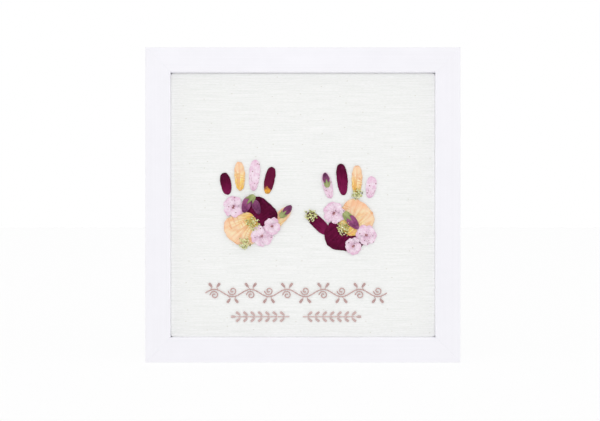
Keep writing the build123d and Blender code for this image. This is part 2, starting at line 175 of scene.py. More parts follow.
# %% Sky, lamp and floor
# Each half of the sky has its level straight ahead, and what it gains or loses towards the sides.
SKY_FRONT, SKY_BACK = (0.68, 1.1), (0.9, -0.8)
SKY_SEAM = 0.02
SKY_TILT = (0.0, 0.0, -0.04)
LAMP_PLACE, LAMP_SIZE, LAMP_WATTS = (-0.2, -4.2, 1.9), 1.2, 32.0
FLOOR_SIZE, FLOOR_DROP = 8.0, 0.0002
FLOOR_FILM, FLOOR_WHITE = 0.07, (0.95, 0.95, 0.95, 1)


def light_sky():
    """White for the camera; for all else a level that changes from front to sides to back."""
    world = bpy.data.worlds.new("studio")
    bpy.context.scene.world = world
    world.use_nodes = True
    tree = world.node_tree
    tree.nodes.clear()
    heading = add(tree, "ShaderNodeTexCoord").outputs["Generated"]
    tilt = measure(tree, "DOT_PRODUCT", heading, SKY_TILT)
    depth = axes_of(tree, heading)["Y"]
    even, rise = (span(tree, depth, -SKY_SEAM, SKY_SEAM, *pair) for pair in zip(SKY_FRONT, SKY_BACK))
    sides = calc(tree, "POWER", calc(tree, "SUBTRACT", 1.0, calc(tree, "ABSOLUTE", depth)), 2.0)
    level = calc(tree, "ADD", tilt, calc(tree, "MULTIPLY_ADD", sides, rise, even))
    seen = add(tree, "ShaderNodeLightPath").outputs["Is Camera Ray"]
    white = {"Color": (1, 1, 1, 1), "Strength": span(tree, seen, 0.0, 1.0, level, 1.0)}
    add(tree, "ShaderNodeOutputWorld", {"Surface": out(tree, "ShaderNodeBackground", white)})


def hang_lamp():
    """One large square lamp, aimed at the middle of the frame."""
    lamp = bpy.data.lights.new("key_lamp", "AREA")
    lamp.size = LAMP_SIZE
    lamp.energy = LAMP_WATTS
    holder = link(bpy.data.objects.new("key_lamp", lamp))
    holder.location = LAMP_PLACE
    aim = cad_box[0].lerp(cad_box[1], 0.5) - holder.location
    holder.rotation_euler = aim.to_track_quat("-Z", "Y").to_euler()


def lay_floor():
    """A pale film under the frame, which isn't part of the object."""
    half = FLOOR_SIZE / 2
    corners = [(-half, -half), (half, -half), (half, half), (-half, half)]
    mesh = bpy.data.meshes.new("floor")
    mesh.from_pydata([(x, y, -FLOOR_DROP) for x, y in corners], [], [(0, 1, 2, 3)])
    film = bpy.data.materials.new("pale_floor")
    film.use_nodes = True
    tree = film.node_tree
    tree.nodes.clear()
    clear = out(tree, "ShaderNodeBsdfTransparent")
    white = out(tree, "ShaderNodeBsdfDiffuse", {"Color": FLOOR_WHITE})
    blend = out(tree, "ShaderNodeMixShader", {0: FLOOR_FILM, 1: clear, 2: white})
    add(tree, "ShaderNodeOutputMaterial", {"Surface": blend})
    mesh.materials.append(film)
    link(bpy.data.objects.new("floor", mesh))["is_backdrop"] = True


light_sky()
hang_lamp()
lay_floor()
bpy.context.scene.view_settings.view_transform = "Standard"
print("studio light and floor are in place")

# %% [markdown]
# ## Colours and patterns
#
# Real finishes are never even: grain, dust, wear and drying leave tones that wander. A noise
# gives such tones, and a stretched one runs in lines, as brush marks and veins do. Colours are
# given as they should look, and raised a little, because the studio light is set just under full.
# Whites are then nearly as bright as white can be, and hand on enough light to keep corners from
# going grey.

# %% Colours and patterns
STUDIO_LIGHT, WHITEST = 0.92, 0.96
# Most of a noise's values lie between these two.
NOISE_LOW, NOISE_HIGH = 0.3, 0.7


def linear(value):
    """A screen value from 0 to 255 as linear light."""
    share = value / 255
    return share / 12.92 if share <= 0.04045 else ((share + 0.055) / 1.055) ** 2.4


def colour(red, green, blue):
    """A screen colour, as seen in the studio light, as a shader wants it."""
    return (*[min(linear(value) / STUDIO_LIGHT, WHITEST) for value in (red, green, blue)], 1.0)


def mix(tree, factor, first, second):
    """Two colours mixed by a factor."""
    sockets = {0: factor, 6: first, 7: second}
    return add(tree, "ShaderNodeMix", sockets, data_type="RGBA").outputs[2]


def stretch(tree, place, scale):
    """Coordinates scaled by axis, so that a noise on them runs in lines."""
    return out(tree, "ShaderNodeMapping", {"Vector": place, "Scale": scale})


def noise(tree, place, scale, detail=2.0, roughness=0.5):
    """A noise's grey value."""
    return out(tree, "ShaderNodeTexNoise", {
        "Vector": place, "Scale": scale, "Detail": detail, "Roughness": roughness,
    })


def rough_by(tree, grain, first, last):
    """A roughness that goes from one value to another with a noise."""
    return span(tree, grain, NOISE_LOW, NOISE_HIGH, first, last)


print("a white of 245 on the screen is", round(colour(245, 245, 245)[0], 2), "to a shader")

# %% [markdown]
# ## Painted rails
#
# The four rails are mitred wood under satin white paint. A flat white would look like plastic,
# so the paint gets what a brush and the grain beneath leave in it: faint streaks that run along
# each rail, and a little unevenness in the gloss. The streaks turn with the rail, so the upright
# rails and the level ones have a finish each, from one function.

# %% Painted rails
PAINT, PAINT_THIN = colour(237, 236, 241), colour(235, 234, 239)
STREAKS_ALONG, STREAKS_ACROSS, BLOTCH_SCALE = 9, 900, 60.0
PAINT_RELIEF = 0.00006


def new_finish(name, sockets):
    """A material with one Principled shader, and the tree it sits in."""
    material = bpy.data.materials.new(name)
    material.use_nodes = True
    tree = material.node_tree
    tree.nodes.clear()
    shader = add(tree, "ShaderNodeBsdfPrincipled", sockets)
    add(tree, "ShaderNodeOutputMaterial", {"Surface": shader.outputs[0]})
    return material, tree, shader


def fill(tree, shader, sockets):
    """Link results of the tree to the shader."""
    for name, value in sockets.items():
        tree.links.new(value, shader.inputs[name])


def place_of(tree):
    """Coordinates of the piece itself, in metres."""
    return add(tree, "ShaderNodeTexCoord").outputs["Object"]


def bumps(tree, height, distance, strength):
    """A height turned into a tilt of the surface."""
    return out(tree, "ShaderNodeBump", {"Height": height, "Distance": distance, "Strength": strength})


def paint_finish(name, streak_scale):
    """Satin paint whose brush streaks run along the axis with the smallest scale."""
    material, tree, shader = new_finish(name, {"IOR": 1.47, "Specular IOR Level": 0.35})
    place = place_of(tree)
    streaks = noise(tree, stretch(tree, place, streak_scale), 1.0, 3.0)
    blotches = noise(tree, place, BLOTCH_SCALE, 2.0)
    thin = span(tree, calc(tree, "ADD", streaks, blotches), 0.8, 1.25)
    fill(tree, shader, {
        "Base Color": mix(tree, thin, PAINT, PAINT_THIN),
        "Roughness": rough_by(tree, blotches, 0.36, 0.5),
        "Normal": bumps(tree, streaks, PAINT_RELIEF, 0.5),
    })
    return material


def dress(material, *names):
    """Give CAD nodes a finish."""
    for name in names:
        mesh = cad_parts[name].data
        mesh.materials.clear()
        mesh.materials.append(material)
    print(material.name, "on", ", ".join(names))


dress(
    paint_finish("satin_paint_level", (STREAKS_ALONG, STREAKS_ACROSS, STREAKS_ACROSS)),
    "top_rail", "bottom_rail",
)
dress(
    paint_finish("satin_paint_upright", (STREAKS_ACROSS, STREAKS_ACROSS, STREAKS_ALONG)),
    "left_rail", "right_rail",
)

# %% [markdown]
# ## Boards
#
# Behind the linen are the board that it is wrapped round, a white filler board and a brown
# hardboard back. From the front nothing of them shows, but the back is all hardboard.
# Paper and board get a fine, even tooth. Hardboard is pressed wood fibre, so it has short dark
# flecks that lie both ways, and a little shine.

# %% Boards
FIBRE_ALONG, FIBRE_ACROSS, FIBRE_GRAIN = 240, 1700, 1300.0
FIBRE_RELIEF, BOARD_CLOUDS = 0.00006, 45.0


def board_finish(name, light, dark, grain, tooth, rough):
    """Paper or board: two tones mixed by a fine noise and a slow one."""
    material, tree, shader = new_finish(name, {"Specular IOR Level": 0.3})
    place = place_of(tree)
    flecks = noise(tree, place, grain, 4.0, 0.65)
    clouds = noise(tree, place, BOARD_CLOUDS, 4.0, 0.6)
    tone = span(tree, calc(tree, "MULTIPLY_ADD", clouds, 0.35, flecks), 0.45, 0.95)
    fill(tree, shader, {
        "Base Color": mix(tree, tone, light, dark),
        "Roughness": rough_by(tree, flecks, rough, rough + 0.15),
        "Normal": bumps(tree, flecks, tooth, 0.6),
    })
    return material


def hardboard_finish():
    """Pressed wood fibre: short flecks that lie both ways over a fine, uneven brown."""
    material, tree, shader = new_finish("hardboard", {"Specular IOR Level": 0.3})
    place = place_of(tree)
    grain = noise(tree, place, FIBRE_GRAIN, 5.0, 0.7)
    level, upright = (
        span(tree, noise(tree, stretch(tree, place, scale), 1.0, 2.0), 0.55, 0.72)
        for scale in ((FIBRE_ALONG, FIBRE_ALONG, FIBRE_ACROSS), (FIBRE_ACROSS, FIBRE_ALONG, FIBRE_ALONG))
    )
    flecks = calc(tree, "MAXIMUM", level, upright)
    body = mix(tree, span(tree, grain, 0.32, 0.68), colour(140, 103, 69), colour(109, 76, 49))
    fill(tree, shader, {
        "Base Color": mix(tree, calc(tree, "MULTIPLY", flecks, 0.45), body, colour(84, 57, 36)),
        "Roughness": rough_by(tree, grain, 0.4, 0.55),
        "Normal": bumps(tree, calc(tree, "SUBTRACT", grain, flecks), FIBRE_RELIEF, 0.6),
    })
    return material


mount_tones = colour(240, 239, 234), colour(232, 231, 225)
filler_tones = colour(236, 234, 228), colour(226, 224, 216)
dress(board_finish("mount_white", *mount_tones, grain=700, tooth=0.00004, rough=0.7), "mount_board")
dress(board_finish("white_filler", *filler_tones, grain=500, tooth=0.00006, rough=0.75), "filler_board")
dress(hardboard_finish(), "backing_board")

# %% [markdown]
# ## Steel and rubber
#
# The turn buttons, rings, straps and screws behind the frame are zinc-plated steel. Plating is
# bright but never even: it clouds, and handling leaves fine scratches. The bumpers are soft dark
# rubber with a dry, dusty surface.

# %% Steel and rubber
SIDES = ("bottom", "left", "top", "right")
PLATE_CLOUDS, SCRATCH_SCALE, SCRATCH_RELIEF = 350.0, (400, 400, 6000), 0.00002
DUST_SCALE, DUST_RELIEF = 900.0, 0.00004


def plated_finish(name, bright, dull, rough):
    """Zinc plate: metal with clouds of tone and fine scratches."""
    material, tree, shader = new_finish(name, {"Metallic": 1.0})
    place = place_of(tree)
    clouds = noise(tree, place, PLATE_CLOUDS, 3.0)
    scratches = noise(tree, stretch(tree, place, SCRATCH_SCALE), 1.0, 2.0)
    fill(tree, shader, {
        "Base Color": mix(tree, span(tree, clouds, 0.35, 0.65), bright, dull),
        "Roughness": rough_by(tree, scratches, rough, rough + 0.14),
        "Normal": bumps(tree, scratches, SCRATCH_RELIEF, 0.35),
    })
    return material


def rubber_finish():
    """Dark rubber under a film of dust."""
    material, tree, shader = new_finish("bumper_rubber", {"Specular IOR Level": 0.3})
    dust = noise(tree, place_of(tree), DUST_SCALE, 4.0, 0.6)
    fill(tree, shader, {
        "Base Color": mix(tree, span(tree, dust, 0.4, 0.75), colour(44, 44, 45), colour(70, 69, 67)),
        "Roughness": rough_by(tree, dust, 0.6, 0.8),
        "Normal": bumps(tree, dust, DUST_RELIEF, 0.5),
    })
    return material


zinc = plated_finish("zinc_plate", colour(177, 180, 183), colour(150, 154, 158), 0.3)
screw_plate = plated_finish("screw_plate", colour(160, 157, 148), colour(122, 119, 111), 0.34)
dress(zinc, *[f"turn_button_{side}" for side in SIDES])
dress(zinc, *[f"hanger_{part}_{side}" for part in ("strap", "ring") for side in ("left", "right")])
dress(screw_plate, "turn_button_screws", "hanger_screws", "corner_nails")
dress(rubber_finish(), "wall_bumpers")

# %% [markdown]
# ## Geometry trees
#
# Cloth, stitches and flower heads repeat one small rule many times, so a Geometry Nodes tree
# makes each of them. One helper starts a tree with named inputs, and another one runs a tree
# and keeps what it made as a plain mesh, because only plain meshes travel to other programs.
# The rest are short names for the nodes that these trees share.

# %% Tree helpers
SOCKET_KINDS = {
    float: "NodeSocketFloat",
    int: "NodeSocketInt",
    tuple: "NodeSocketVector",
    bpy.types.Material: "NodeSocketMaterial",
    bpy.types.Mesh: "NodeSocketGeometry",
}


def new_tree(name, inputs):
    """A geometry tree with one input for each name and kind of value, and those inputs' sockets."""
    tree = bpy.data.node_groups.new(name, "GeometryNodeTree")
    tree.is_modifier = True
    for label, kind in inputs.items():
        tree.interface.new_socket(name=label, in_out="INPUT", socket_type=SOCKET_KINDS[kind])
    tree.interface.new_socket(name="Geometry", in_out="OUTPUT", socket_type="NodeSocketGeometry")
    return tree, add(tree, "NodeGroupInput").outputs


def vector(tree, operation, *values):
    """One Vector Math node's result."""
    return out(tree, "ShaderNodeVectorMath", dict(enumerate(values)), operation=operation)


def scaled(tree, place, factor):
    """A vector times a number."""
    return out(tree, "ShaderNodeVectorMath", {0: place, "Scale": factor}, operation="SCALE")


def joined(tree, **axes):
    """A vector from its X, Y and Z."""
    return out(tree, "ShaderNodeCombineXYZ", axes)


def moved(tree, geometry, places):
    """Geometry with its points at new places."""
    return out(tree, "GeometryNodeSetPosition", {"Geometry": geometry, "Position": places})


def marked(tree, geometry, name, value, **settings):
    """Geometry that remembers a value under a name."""
    sockets = {"Geometry": geometry, "Name": name, "Value": value}
    return out(tree, "GeometryNodeStoreNamedAttribute", sockets, **settings)


def kept(tree, name, kind="FLOAT"):
    """What the points remember under a name."""
    return out(tree, "GeometryNodeInputNamedAttribute", {"Name": name}, data_type=kind)


def close_tree(tree, geometry, material):
    """The end of every tree: smooth, real and in its finish."""
    smooth = out(tree, "GeometryNodeSetShadeSmooth", {"Geometry": geometry})
    real = out(tree, "GeometryNodeRealizeInstances", {"Geometry": smooth})
    painted = out(tree, "GeometryNodeSetMaterial", {"Geometry": real, "Material": material})
    add(tree, "NodeGroupOutput", {0: painted})


def grow(name, tree, start, values):
    """Run a tree on a mesh and keep the result as a plain mesh object."""
    thing = link(bpy.data.objects.new(name, start))
    modifier = thing.modifiers.new(tree.name, "NODES")
    modifier.node_group = tree
    for item in tree.interface.items_tree:
        if item.name in values:
            modifier[item.identifier] = values[item.name]
    graph = bpy.context.evaluated_depsgraph_get()
    result = bpy.data.meshes.new_from_object(thing.evaluated_get(graph))
    thing.modifiers.clear()
    thing.data = result
    return thing


print("tree inputs can be", ", ".join(kind.__name__ for kind in SOCKET_KINDS))

# %% [markdown]
# ## Linen
#
# The panel is covered with slub linen: a plain weave in which some of the level threads swell
# for a few millimetres and thin out again. The cloth was cut flat and wrapped round its board, so
# it is made that way here. Python cuts a flat sheet with many rows, because slubs are thin, and
# with more lines where it will bend. The tree raises the slubs with a noise that is stretched
# along the thread. Then it wraps the sheet: how far a point lies outside the board's face decides
# whether it stays flat, rolls over the edge, runs back along the side or turns in behind. Wrapped
# cloth is fuller than its board, so it closes the gap to the rails except for a hair at the top.
# The finish adds the threads themselves, which would take millions of faces to model, and a few
# grey flecks, one in each of some cells of a pattern: partly bits of stalk that are spun into such
# yarn, and partly painted shade under its small knots.

# %% Linen finish
THREAD_PITCH, THREAD_WANDER, WANDER_SCALE = 0.00052, 6.0, 160.0
SLUB_ACROSS, SLUB_UP, FLECK_ACROSS = 35.0, 1900.0, 420
FLECK_CELLS_ACROSS, FLECK_CELLS_UP, FLECK_SHADE_DEPTH = 60.0, 110.0, 0.8
LINEN_SHADE, LINEN_LIGHT, FLECK_AND_KNOT_SHADE = colour(226, 228, 225), colour(242, 244, 241), colour(208, 206, 196)
LINEN_RELIEF = 0.00012


def thread_wave(tree, place, wander):
    """A wave with one crest for each thread."""
    return calc(tree, "SINE", calc(tree, "MULTIPLY_ADD", place, 2 * math.pi / THREAD_PITCH, wander))


def flecks_and_knot_shade(tree, axes):
    """Small flecks, longest along the level threads, in about four of every ten cells."""
    across, up = calc(tree, "MULTIPLY", axes["X"], FLECK_CELLS_ACROSS), calc(tree, "MULTIPLY", axes["Z"], FLECK_CELLS_UP)
    sockets = {"Vector": joined(tree, X=across, Y=up), "Scale": 1.0}
    cells = add(tree, "ShaderNodeTexVoronoi", sockets, voronoi_dimensions="2D").outputs
    rare = span(tree, axes_of(tree, cells["Color"])["X"], 0.6, 0.62)
    return calc(tree, "MULTIPLY", span(tree, cells["Distance"], 0.015, 0.045, 1.0, 0.0), rare)


def linen_finish():
    """Off-white threads that cross, with slubs along the level ones."""
    material, tree, shader = new_finish("slub_linen", {"Sheen Weight": 0.08, "Specular IOR Level": 0.2})
    place = place_of(tree)
    axes = axes_of(tree, place)
    wander = calc(tree, "MULTIPLY", noise(tree, place, WANDER_SCALE, 1.0), THREAD_WANDER)
    weave = calc(tree, "MULTIPLY", thread_wave(tree, axes["Z"], wander), thread_wave(tree, axes["X"], wander))
    slubs = noise(tree, stretch(tree, place, (SLUB_ACROSS, 1.0, SLUB_UP)), 1.0, 3.0, 0.6)
    flecks = noise(tree, stretch(tree, place, (FLECK_ACROSS, 1.0, SLUB_UP)), 1.0, 2.0)
    tone = span(tree, calc(tree, "ADD", slubs, calc(tree, "MULTIPLY", flecks, 0.6)), 0.5, 1.0)
    # The flecks are partly bits of stalk in the yarn and partly painted shade under small knots.
    fleck_shade = flecks_and_knot_shade(tree, axes)
    yarn = mix(tree, tone, LINEN_SHADE, LINEN_LIGHT)
    height = calc(tree, "ADD", calc(tree, "MULTIPLY_ADD", weave, 0.35, slubs), fleck_shade)
    fill(tree, shader, {
        "Base Color": mix(tree, calc(tree, "MULTIPLY", fleck_shade, FLECK_SHADE_DEPTH), yarn, FLECK_AND_KNOT_SHADE),
        "Roughness": rough_by(tree, slubs, 0.85, 0.72),
        "Normal": bumps(tree, height, LINEN_RELIEF, 0.5),
    })
    return material


linen = linen_finish()
print(f"linen has {0.01 / THREAD_PITCH:.0f} threads to the centimetre")

# %% Cut the cloth flat
import bmesh
import numpy as np

CORNER_RADIUS, EDGE_RADIUS, TURN_IN = 0.0018, 0.0005, 0.025
SIDE_GAP, TOP_GAP = 0.00002, 0.0001
FACE_COLUMNS, FACE_ROWS = 150, 430
ROLL_LINES, SIDE_LINES, TURN_LINES = 5, 3, 5
CUT_SLACK = 1e-7

panel_low, panel_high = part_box("linen_cover")
linen_y = panel_low.y
half_across = (opening_right - opening_left) / 2 - SIDE_GAP
half_up = (opening_top - TOP_GAP - panel_low.z) / 2
core_across, core_up = half_across - CORNER_RADIUS, half_up - CORNER_RADIUS
panel_side = panel_high.y - panel_low.y - EDGE_RADIUS
rim_flat = CORNER_RADIUS - EDGE_RADIUS
rim_roll = EDGE_RADIUS * math.pi / 2
rim_reach = rim_flat + rim_roll + panel_side + TURN_IN


def cut_lines(core, count):
    """Even lines over the face, then closer ones over the rolled edge, the side and the turn-in."""
    face = np.linspace(-core - rim_flat, core + rim_flat, count)
    bends, done = [], 0.0
    for length, lines in ((rim_roll, ROLL_LINES), (panel_side, SIDE_LINES), (TURN_IN, TURN_LINES)):
        bends += [done + length * k / lines for k in range(1, lines + 1)]
        done += length
    outer = core + rim_flat + np.array(bends)
    return np.concatenate([-outer[::-1], face, outer])


def cut_cloth():
    """A flat sheet that faces +Z, with the excess cut off its corners."""
    across, up = np.meshgrid(cut_lines(core_across, FACE_COLUMNS), cut_lines(core_up, FACE_ROWS))
    rows, columns = across.shape
    outside = np.hypot(np.maximum(abs(across) - core_across, 0), np.maximum(abs(up) - core_up, 0))
    inside = outside <= rim_reach + CUT_SLACK
    quads = []
    for row in range(rows - 1):
        for column in range(columns - 1):
            corners = [(row, column), (row, column + 1), (row + 1, column + 1), (row + 1, column)]
            if all(inside[corner] for corner in corners):
                quads.append([r * columns + c for r, c in corners])
    flat = np.column_stack([across.ravel(), up.ravel(), np.zeros(across.size)])
    mesh = bpy.data.meshes.new("linen_cloth")
    mesh.from_pydata(flat.tolist(), [], quads)
    loose = bmesh.new()
    loose.from_mesh(mesh)
    unused = [vert for vert in loose.verts if not vert.link_faces]
    bmesh.ops.delete(loose, geom=unused, context="VERTS")
    loose.to_mesh(mesh)
    loose.free()
    return mesh


flat_cloth = cut_cloth()

# %% Wrap the cloth
SLUB_HEIGHT, SLUB_SCALE = 0.00014, (110.0, 800.0, 1.0)


def linen_tree():
    """Slubs on a flat sheet, which is then wrapped round a board with rounded corners and edges."""
    tree, given = new_tree("slub_cloth", {
        "Cloth": bpy.types.Mesh, "Core": tuple, "Rim Flat": float, "Edge Radius": float, "Side": float,
        "Turn In": float, "Panel Half": float, "Slub Height": float, "Place": tuple,
        "Finish": bpy.types.Material,
    })
    radius = given["Edge Radius"]

    def held(value, most):
        return calc(tree, "MINIMUM", calc(tree, "MAXIMUM", value, 0.0), most)

    here = out(tree, "GeometryNodeInputPosition")
    other = vector(tree, "MULTIPLY", given["Core"], (-1.0, -1.0, -1.0))
    anchor = vector(tree, "MINIMUM", vector(tree, "MAXIMUM", here, other), given["Core"])
    away = vector(tree, "SUBTRACT", here, anchor)
    far = measure(tree, "LENGTH", away)
    rolled = calc(tree, "SUBTRACT", far, given["Rim Flat"])
    angle = held(calc(tree, "DIVIDE", rolled, radius), math.pi / 2)
    past = calc(tree, "MULTIPLY_ADD", radius, -math.pi / 2, rolled)
    down = held(past, given["Side"])
    turned = held(calc(tree, "SUBTRACT", past, given["Side"]), given["Turn In"])
    reach = calc(tree, "MULTIPLY_ADD", radius, calc(tree, "SINE", angle), held(far, given["Rim Flat"]))
    roll = calc(tree, "MULTIPLY", radius, calc(tree, "SUBTRACT", 1.0, calc(tree, "COSINE", angle)))
    rim = scaled(tree, vector(tree, "NORMALIZE", away), reach)
    shrink = calc(tree, "SUBTRACT", 1.0, calc(tree, "DIVIDE", turned, given["Panel Half"]))
    plan = scaled(tree, vector(tree, "ADD", anchor, rim), shrink)
    swelling = noise(tree, vector(tree, "MULTIPLY", here, SLUB_SCALE), 1.0, 2.0)
    slub = calc(tree, "MULTIPLY", span(tree, swelling, 0.42, 0.78, -1.0, 0.0), given["Slub Height"])
    lift = joined(tree, Z=calc(tree, "SUBTRACT", slub, calc(tree, "ADD", roll, down)))
    stood = out(tree, "GeometryNodeTransform", {
        "Geometry": moved(tree, given["Cloth"], vector(tree, "ADD", plan, lift)),
        "Translation": given["Place"], "Rotation": (math.pi / 2, 0.0, 0.0),
    })
    close_tree(tree, stood, given["Finish"])
    return tree


cloth = grow("linen_cloth", linen_tree(), flat_cloth, {
    "Core": (core_across, core_up, 0.0), "Rim Flat": rim_flat, "Edge Radius": EDGE_RADIUS,
    "Side": panel_side, "Turn In": TURN_IN, "Panel Half": half_across, "Slub Height": SLUB_HEIGHT,
    "Place": (0.0, linen_y, panel_low.z + half_up), "Finish": linen,
})
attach(cloth, "frame")
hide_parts("linen_cover")
print(f"linen wrapped to {half_across * 2000:.1f} by {half_up * 2000:.1f} mm")

# %% [markdown]
# ## What lies on the linen
#
# Every petal rests on whatever was laid before it, as when the real picture was glued. To drape
# them, a height map remembers how high the flowers stand over each quarter millimetre of cloth.
# A new petal reads its support from the map, with the steps softened so that it bends over an
# edge beneath it, and then adds its own top to the map. The outlines come from the CAD nodes:
# the front face of each solid, read as a loop of points.

# %% Height map
CELL = 0.00025
MAP_LOW = np.array([-0.080, 0.070])
MAP_SHAPE = (420, 640)
LINEN_TOOTH = 0.00006
EASE = 5
# Each point needs a next cell to blend with, so the last one is out of reach.
MAP_MARGIN = 1.001

heights = np.full(MAP_SHAPE, LINEN_TOOTH)


def neighbours(grid, reach, axis):
    """A grid shifted by each step up to the reach, both ways."""
    return [np.roll(grid, step, axis) for step in range(-reach, reach + 1)]


def soften(grid, reach):
    """A grid blurred over a few cells each way."""
    for axis in (0, 1):
        grid = sum(neighbours(grid, reach, axis)) / (2 * reach + 1)
    return grid


def widen(grid, reach):
    """A grid in which each cell takes the highest value near it."""
    for axis in (0, 1):
        grid = np.max(neighbours(grid, reach, axis), axis=0)
    return grid


def support(points):
    """How high the flowers stand at each point (across, up), eased down beside every edge."""
    eased = soften(widen(heights, EASE), EASE)
    place = (np.asarray(points) - MAP_LOW) / CELL
    column, row = np.clip(place.T, 0, np.array(MAP_SHAPE[::-1])[:, None] - MAP_MARGIN)
    c, r = column.astype(int), row.astype(int)
    u, v = column - c, row - r
    lower = eased[r, c] * (1 - u) + eased[r, c + 1] * u
    upper = eased[r + 1, c] * (1 - u) + eased[r + 1, c + 1] * u
    return lower * (1 - v) + upper * v


def remember(points, tops):
    """Add a laid piece's top to the map."""
    column, row = np.rint((points - MAP_LOW) / CELL).astype(int).T
    np.maximum.at(heights, (row, column), tops)


print("height map covers", [round(float(n * CELL * 1000)) for n in MAP_SHAPE[::-1]], "mm")

# %% Outlines of the CAD pieces
HANDS = ("left", "right")
SAME_POINT, FRONT_FACING = 1e-6, -0.99


def front_loops(name):
    """The front outline of each solid in a CAD node: its height off the linen, and its points."""
    solid = bmesh.new()
    solid.from_mesh(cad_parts[name].data)
    bmesh.ops.remove_doubles(solid, verts=solid.verts, dist=SAME_POINT)
    front = [face for face in solid.faces if face.normal.y < FRONT_FACING]
    facing = set(front)
    rim = {}
    for face in front:
        for loop in face.loops:
            if not any(other in facing and other is not face for other in loop.edge.link_faces):
                rim[loop.vert] = loop.link_loop_next.vert
    loops = []
    while rim:
        start, following = rim.popitem()
        chain = [start]
        while following is not start:
            chain.append(following)
            following = rim.pop(following)
        loops.append((linen_y - start.co.y, np.array([(v.co.x, v.co.z) for v in chain])))
    solid.free()
    return sorted(loops, key=lambda loop: (loop[0], *loop[1].mean(axis=0)))


def palm_of(hand):
    """The middle of a hand's two palm petals."""
    palms = [front_loops(f"{hand}_palm_{kind}_petal")[0][1] for kind in ("plum", "peach")]
    return np.mean([palm.mean(axis=0) for palm in palms], axis=0)


palm_middle = {hand: palm_of(hand) for hand in HANDS}
print("palms:", {hand: [round(float(v), 4) for v in place] for hand, place in palm_middle.items()})

# %% [markdown]
# ## One pressed petal
#
# A pressed petal is a thin sheet: nearly flat, ribbed by the veins that fan out from its base,
# a little ragged and lifted at its rim. It could be sculpted, but there are dozens of them, so
# one function builds each from its outline in rings round its middle, top and underside, and
# closes the rim. It also writes a map of fan coordinates, which way from the base and how far,
# so that colour and veins can follow the petal whichever way it lies.

# %% Petal outline and fan
RINGS, SEGMENTS = 14, 80
BASE_BEHIND = 0.12


def evenly(outline, count):
    """A closed outline again, in even steps."""
    closed = np.vstack([outline, outline[:1]])
    run = np.concatenate([[0], np.cumsum(np.hypot(*np.diff(closed, axis=0).T))])
    at = np.linspace(0, run[-1], count, endpoint=False)
    return np.column_stack([np.interp(at, run, closed[:, axis]) for axis in (0, 1)])


def ripple(angles, seed, waves):
    """A smooth, seeded wobble from -1 to 1 round a circle."""
    draw = np.random.default_rng(seed)
    total = sum(np.sin(wave * angles + draw.uniform(0, 2 * math.pi)) / math.sqrt(wave) for wave in waves)
    return total / np.abs(total).max()


def left_of(way):
    """A direction turned a quarter to the left."""
    return np.array([-way[1], way[0]])


def fan_of(points, rim, tip):
    """Fan coordinates: the way from the petal's base as 0 to 1, and the share of its length."""
    reach = rim @ tip
    length = reach.max() - reach.min()
    middle = rim.mean(axis=0)
    base = middle + tip * (reach.min() - middle @ tip - BASE_BEHIND * length)
    along, across = (points - base) @ tip, (points - base) @ left_of(tip)
    share = np.hypot(along, across) / ((1 + BASE_BEHIND) * length)
    return np.column_stack([0.5 + np.arctan2(across, along) / math.pi, share])


def ring_point(layer, row, k):
    """The number of a petal's point: its side, its ring and its place in the ring."""
    return layer * (RINGS * SEGMENTS + 1) + 1 + row * SEGMENTS + k % SEGMENTS


def petal_faces():
    """Quads between the rings of both sides, a fan at each middle, and the rim between them."""
    faces = []
    for k in range(SEGMENTS):
        for layer in (0, 1):
            middle = ring_point(layer, 0, 0) - 1
            strip = [(middle, ring_point(layer, 0, k), ring_point(layer, 0, k + 1))]
            for row in range(RINGS - 1):
                near = ring_point(layer, row, k), ring_point(layer, row, k + 1)
                far = ring_point(layer, row + 1, k), ring_point(layer, row + 1, k + 1)
                strip.append((near[0], far[0], far[1], near[1]))
            faces += strip if layer else [face[::-1] for face in strip]
        top, bottom = ([ring_point(layer, RINGS - 1, k + step) for step in (0, 1)] for layer in (0, 1))
        faces.append((*top, *bottom[::-1]))
    return faces


print("a petal has", len(petal_faces()), "faces")

# %% Press a petal
PETAL_SHEET = 0.0001
MAP_STEPS = 6
MILLIMETRE = 0.001
RIM_WAVES, CURL_WAVES = (2, 3, 5, 7, 11, 17, 23), (1, 2, 3, 5)
PLEAT_WAVES, BEND_WAVES, SWAY_WAVES = (9, 14, 23, 31), (1, 2, 3), (2, 5)


def note_top(plan, top):
    """Remember a petal's top at steps finer than the map's cells."""
    middle = np.tile(np.append(plan[0], top[0]), (1, SEGMENTS, 1))
    rings = np.column_stack([plan[1:], top[1:]]).reshape(RINGS, SEGMENTS, 3)
    rows = np.concatenate([middle, rings])
    for axis in (0, 1):
        ends = np.roll(rows, -1, axis) if axis else rows[1:]
        starts = rows if axis else rows[:-1]
        rows = np.concatenate([starts + (ends - starts) * k / MAP_STEPS for k in range(MAP_STEPS + 1)], axis)
    flat = rows.reshape(-1, 3)
    remember(flat[:, :2], flat[:, 2])


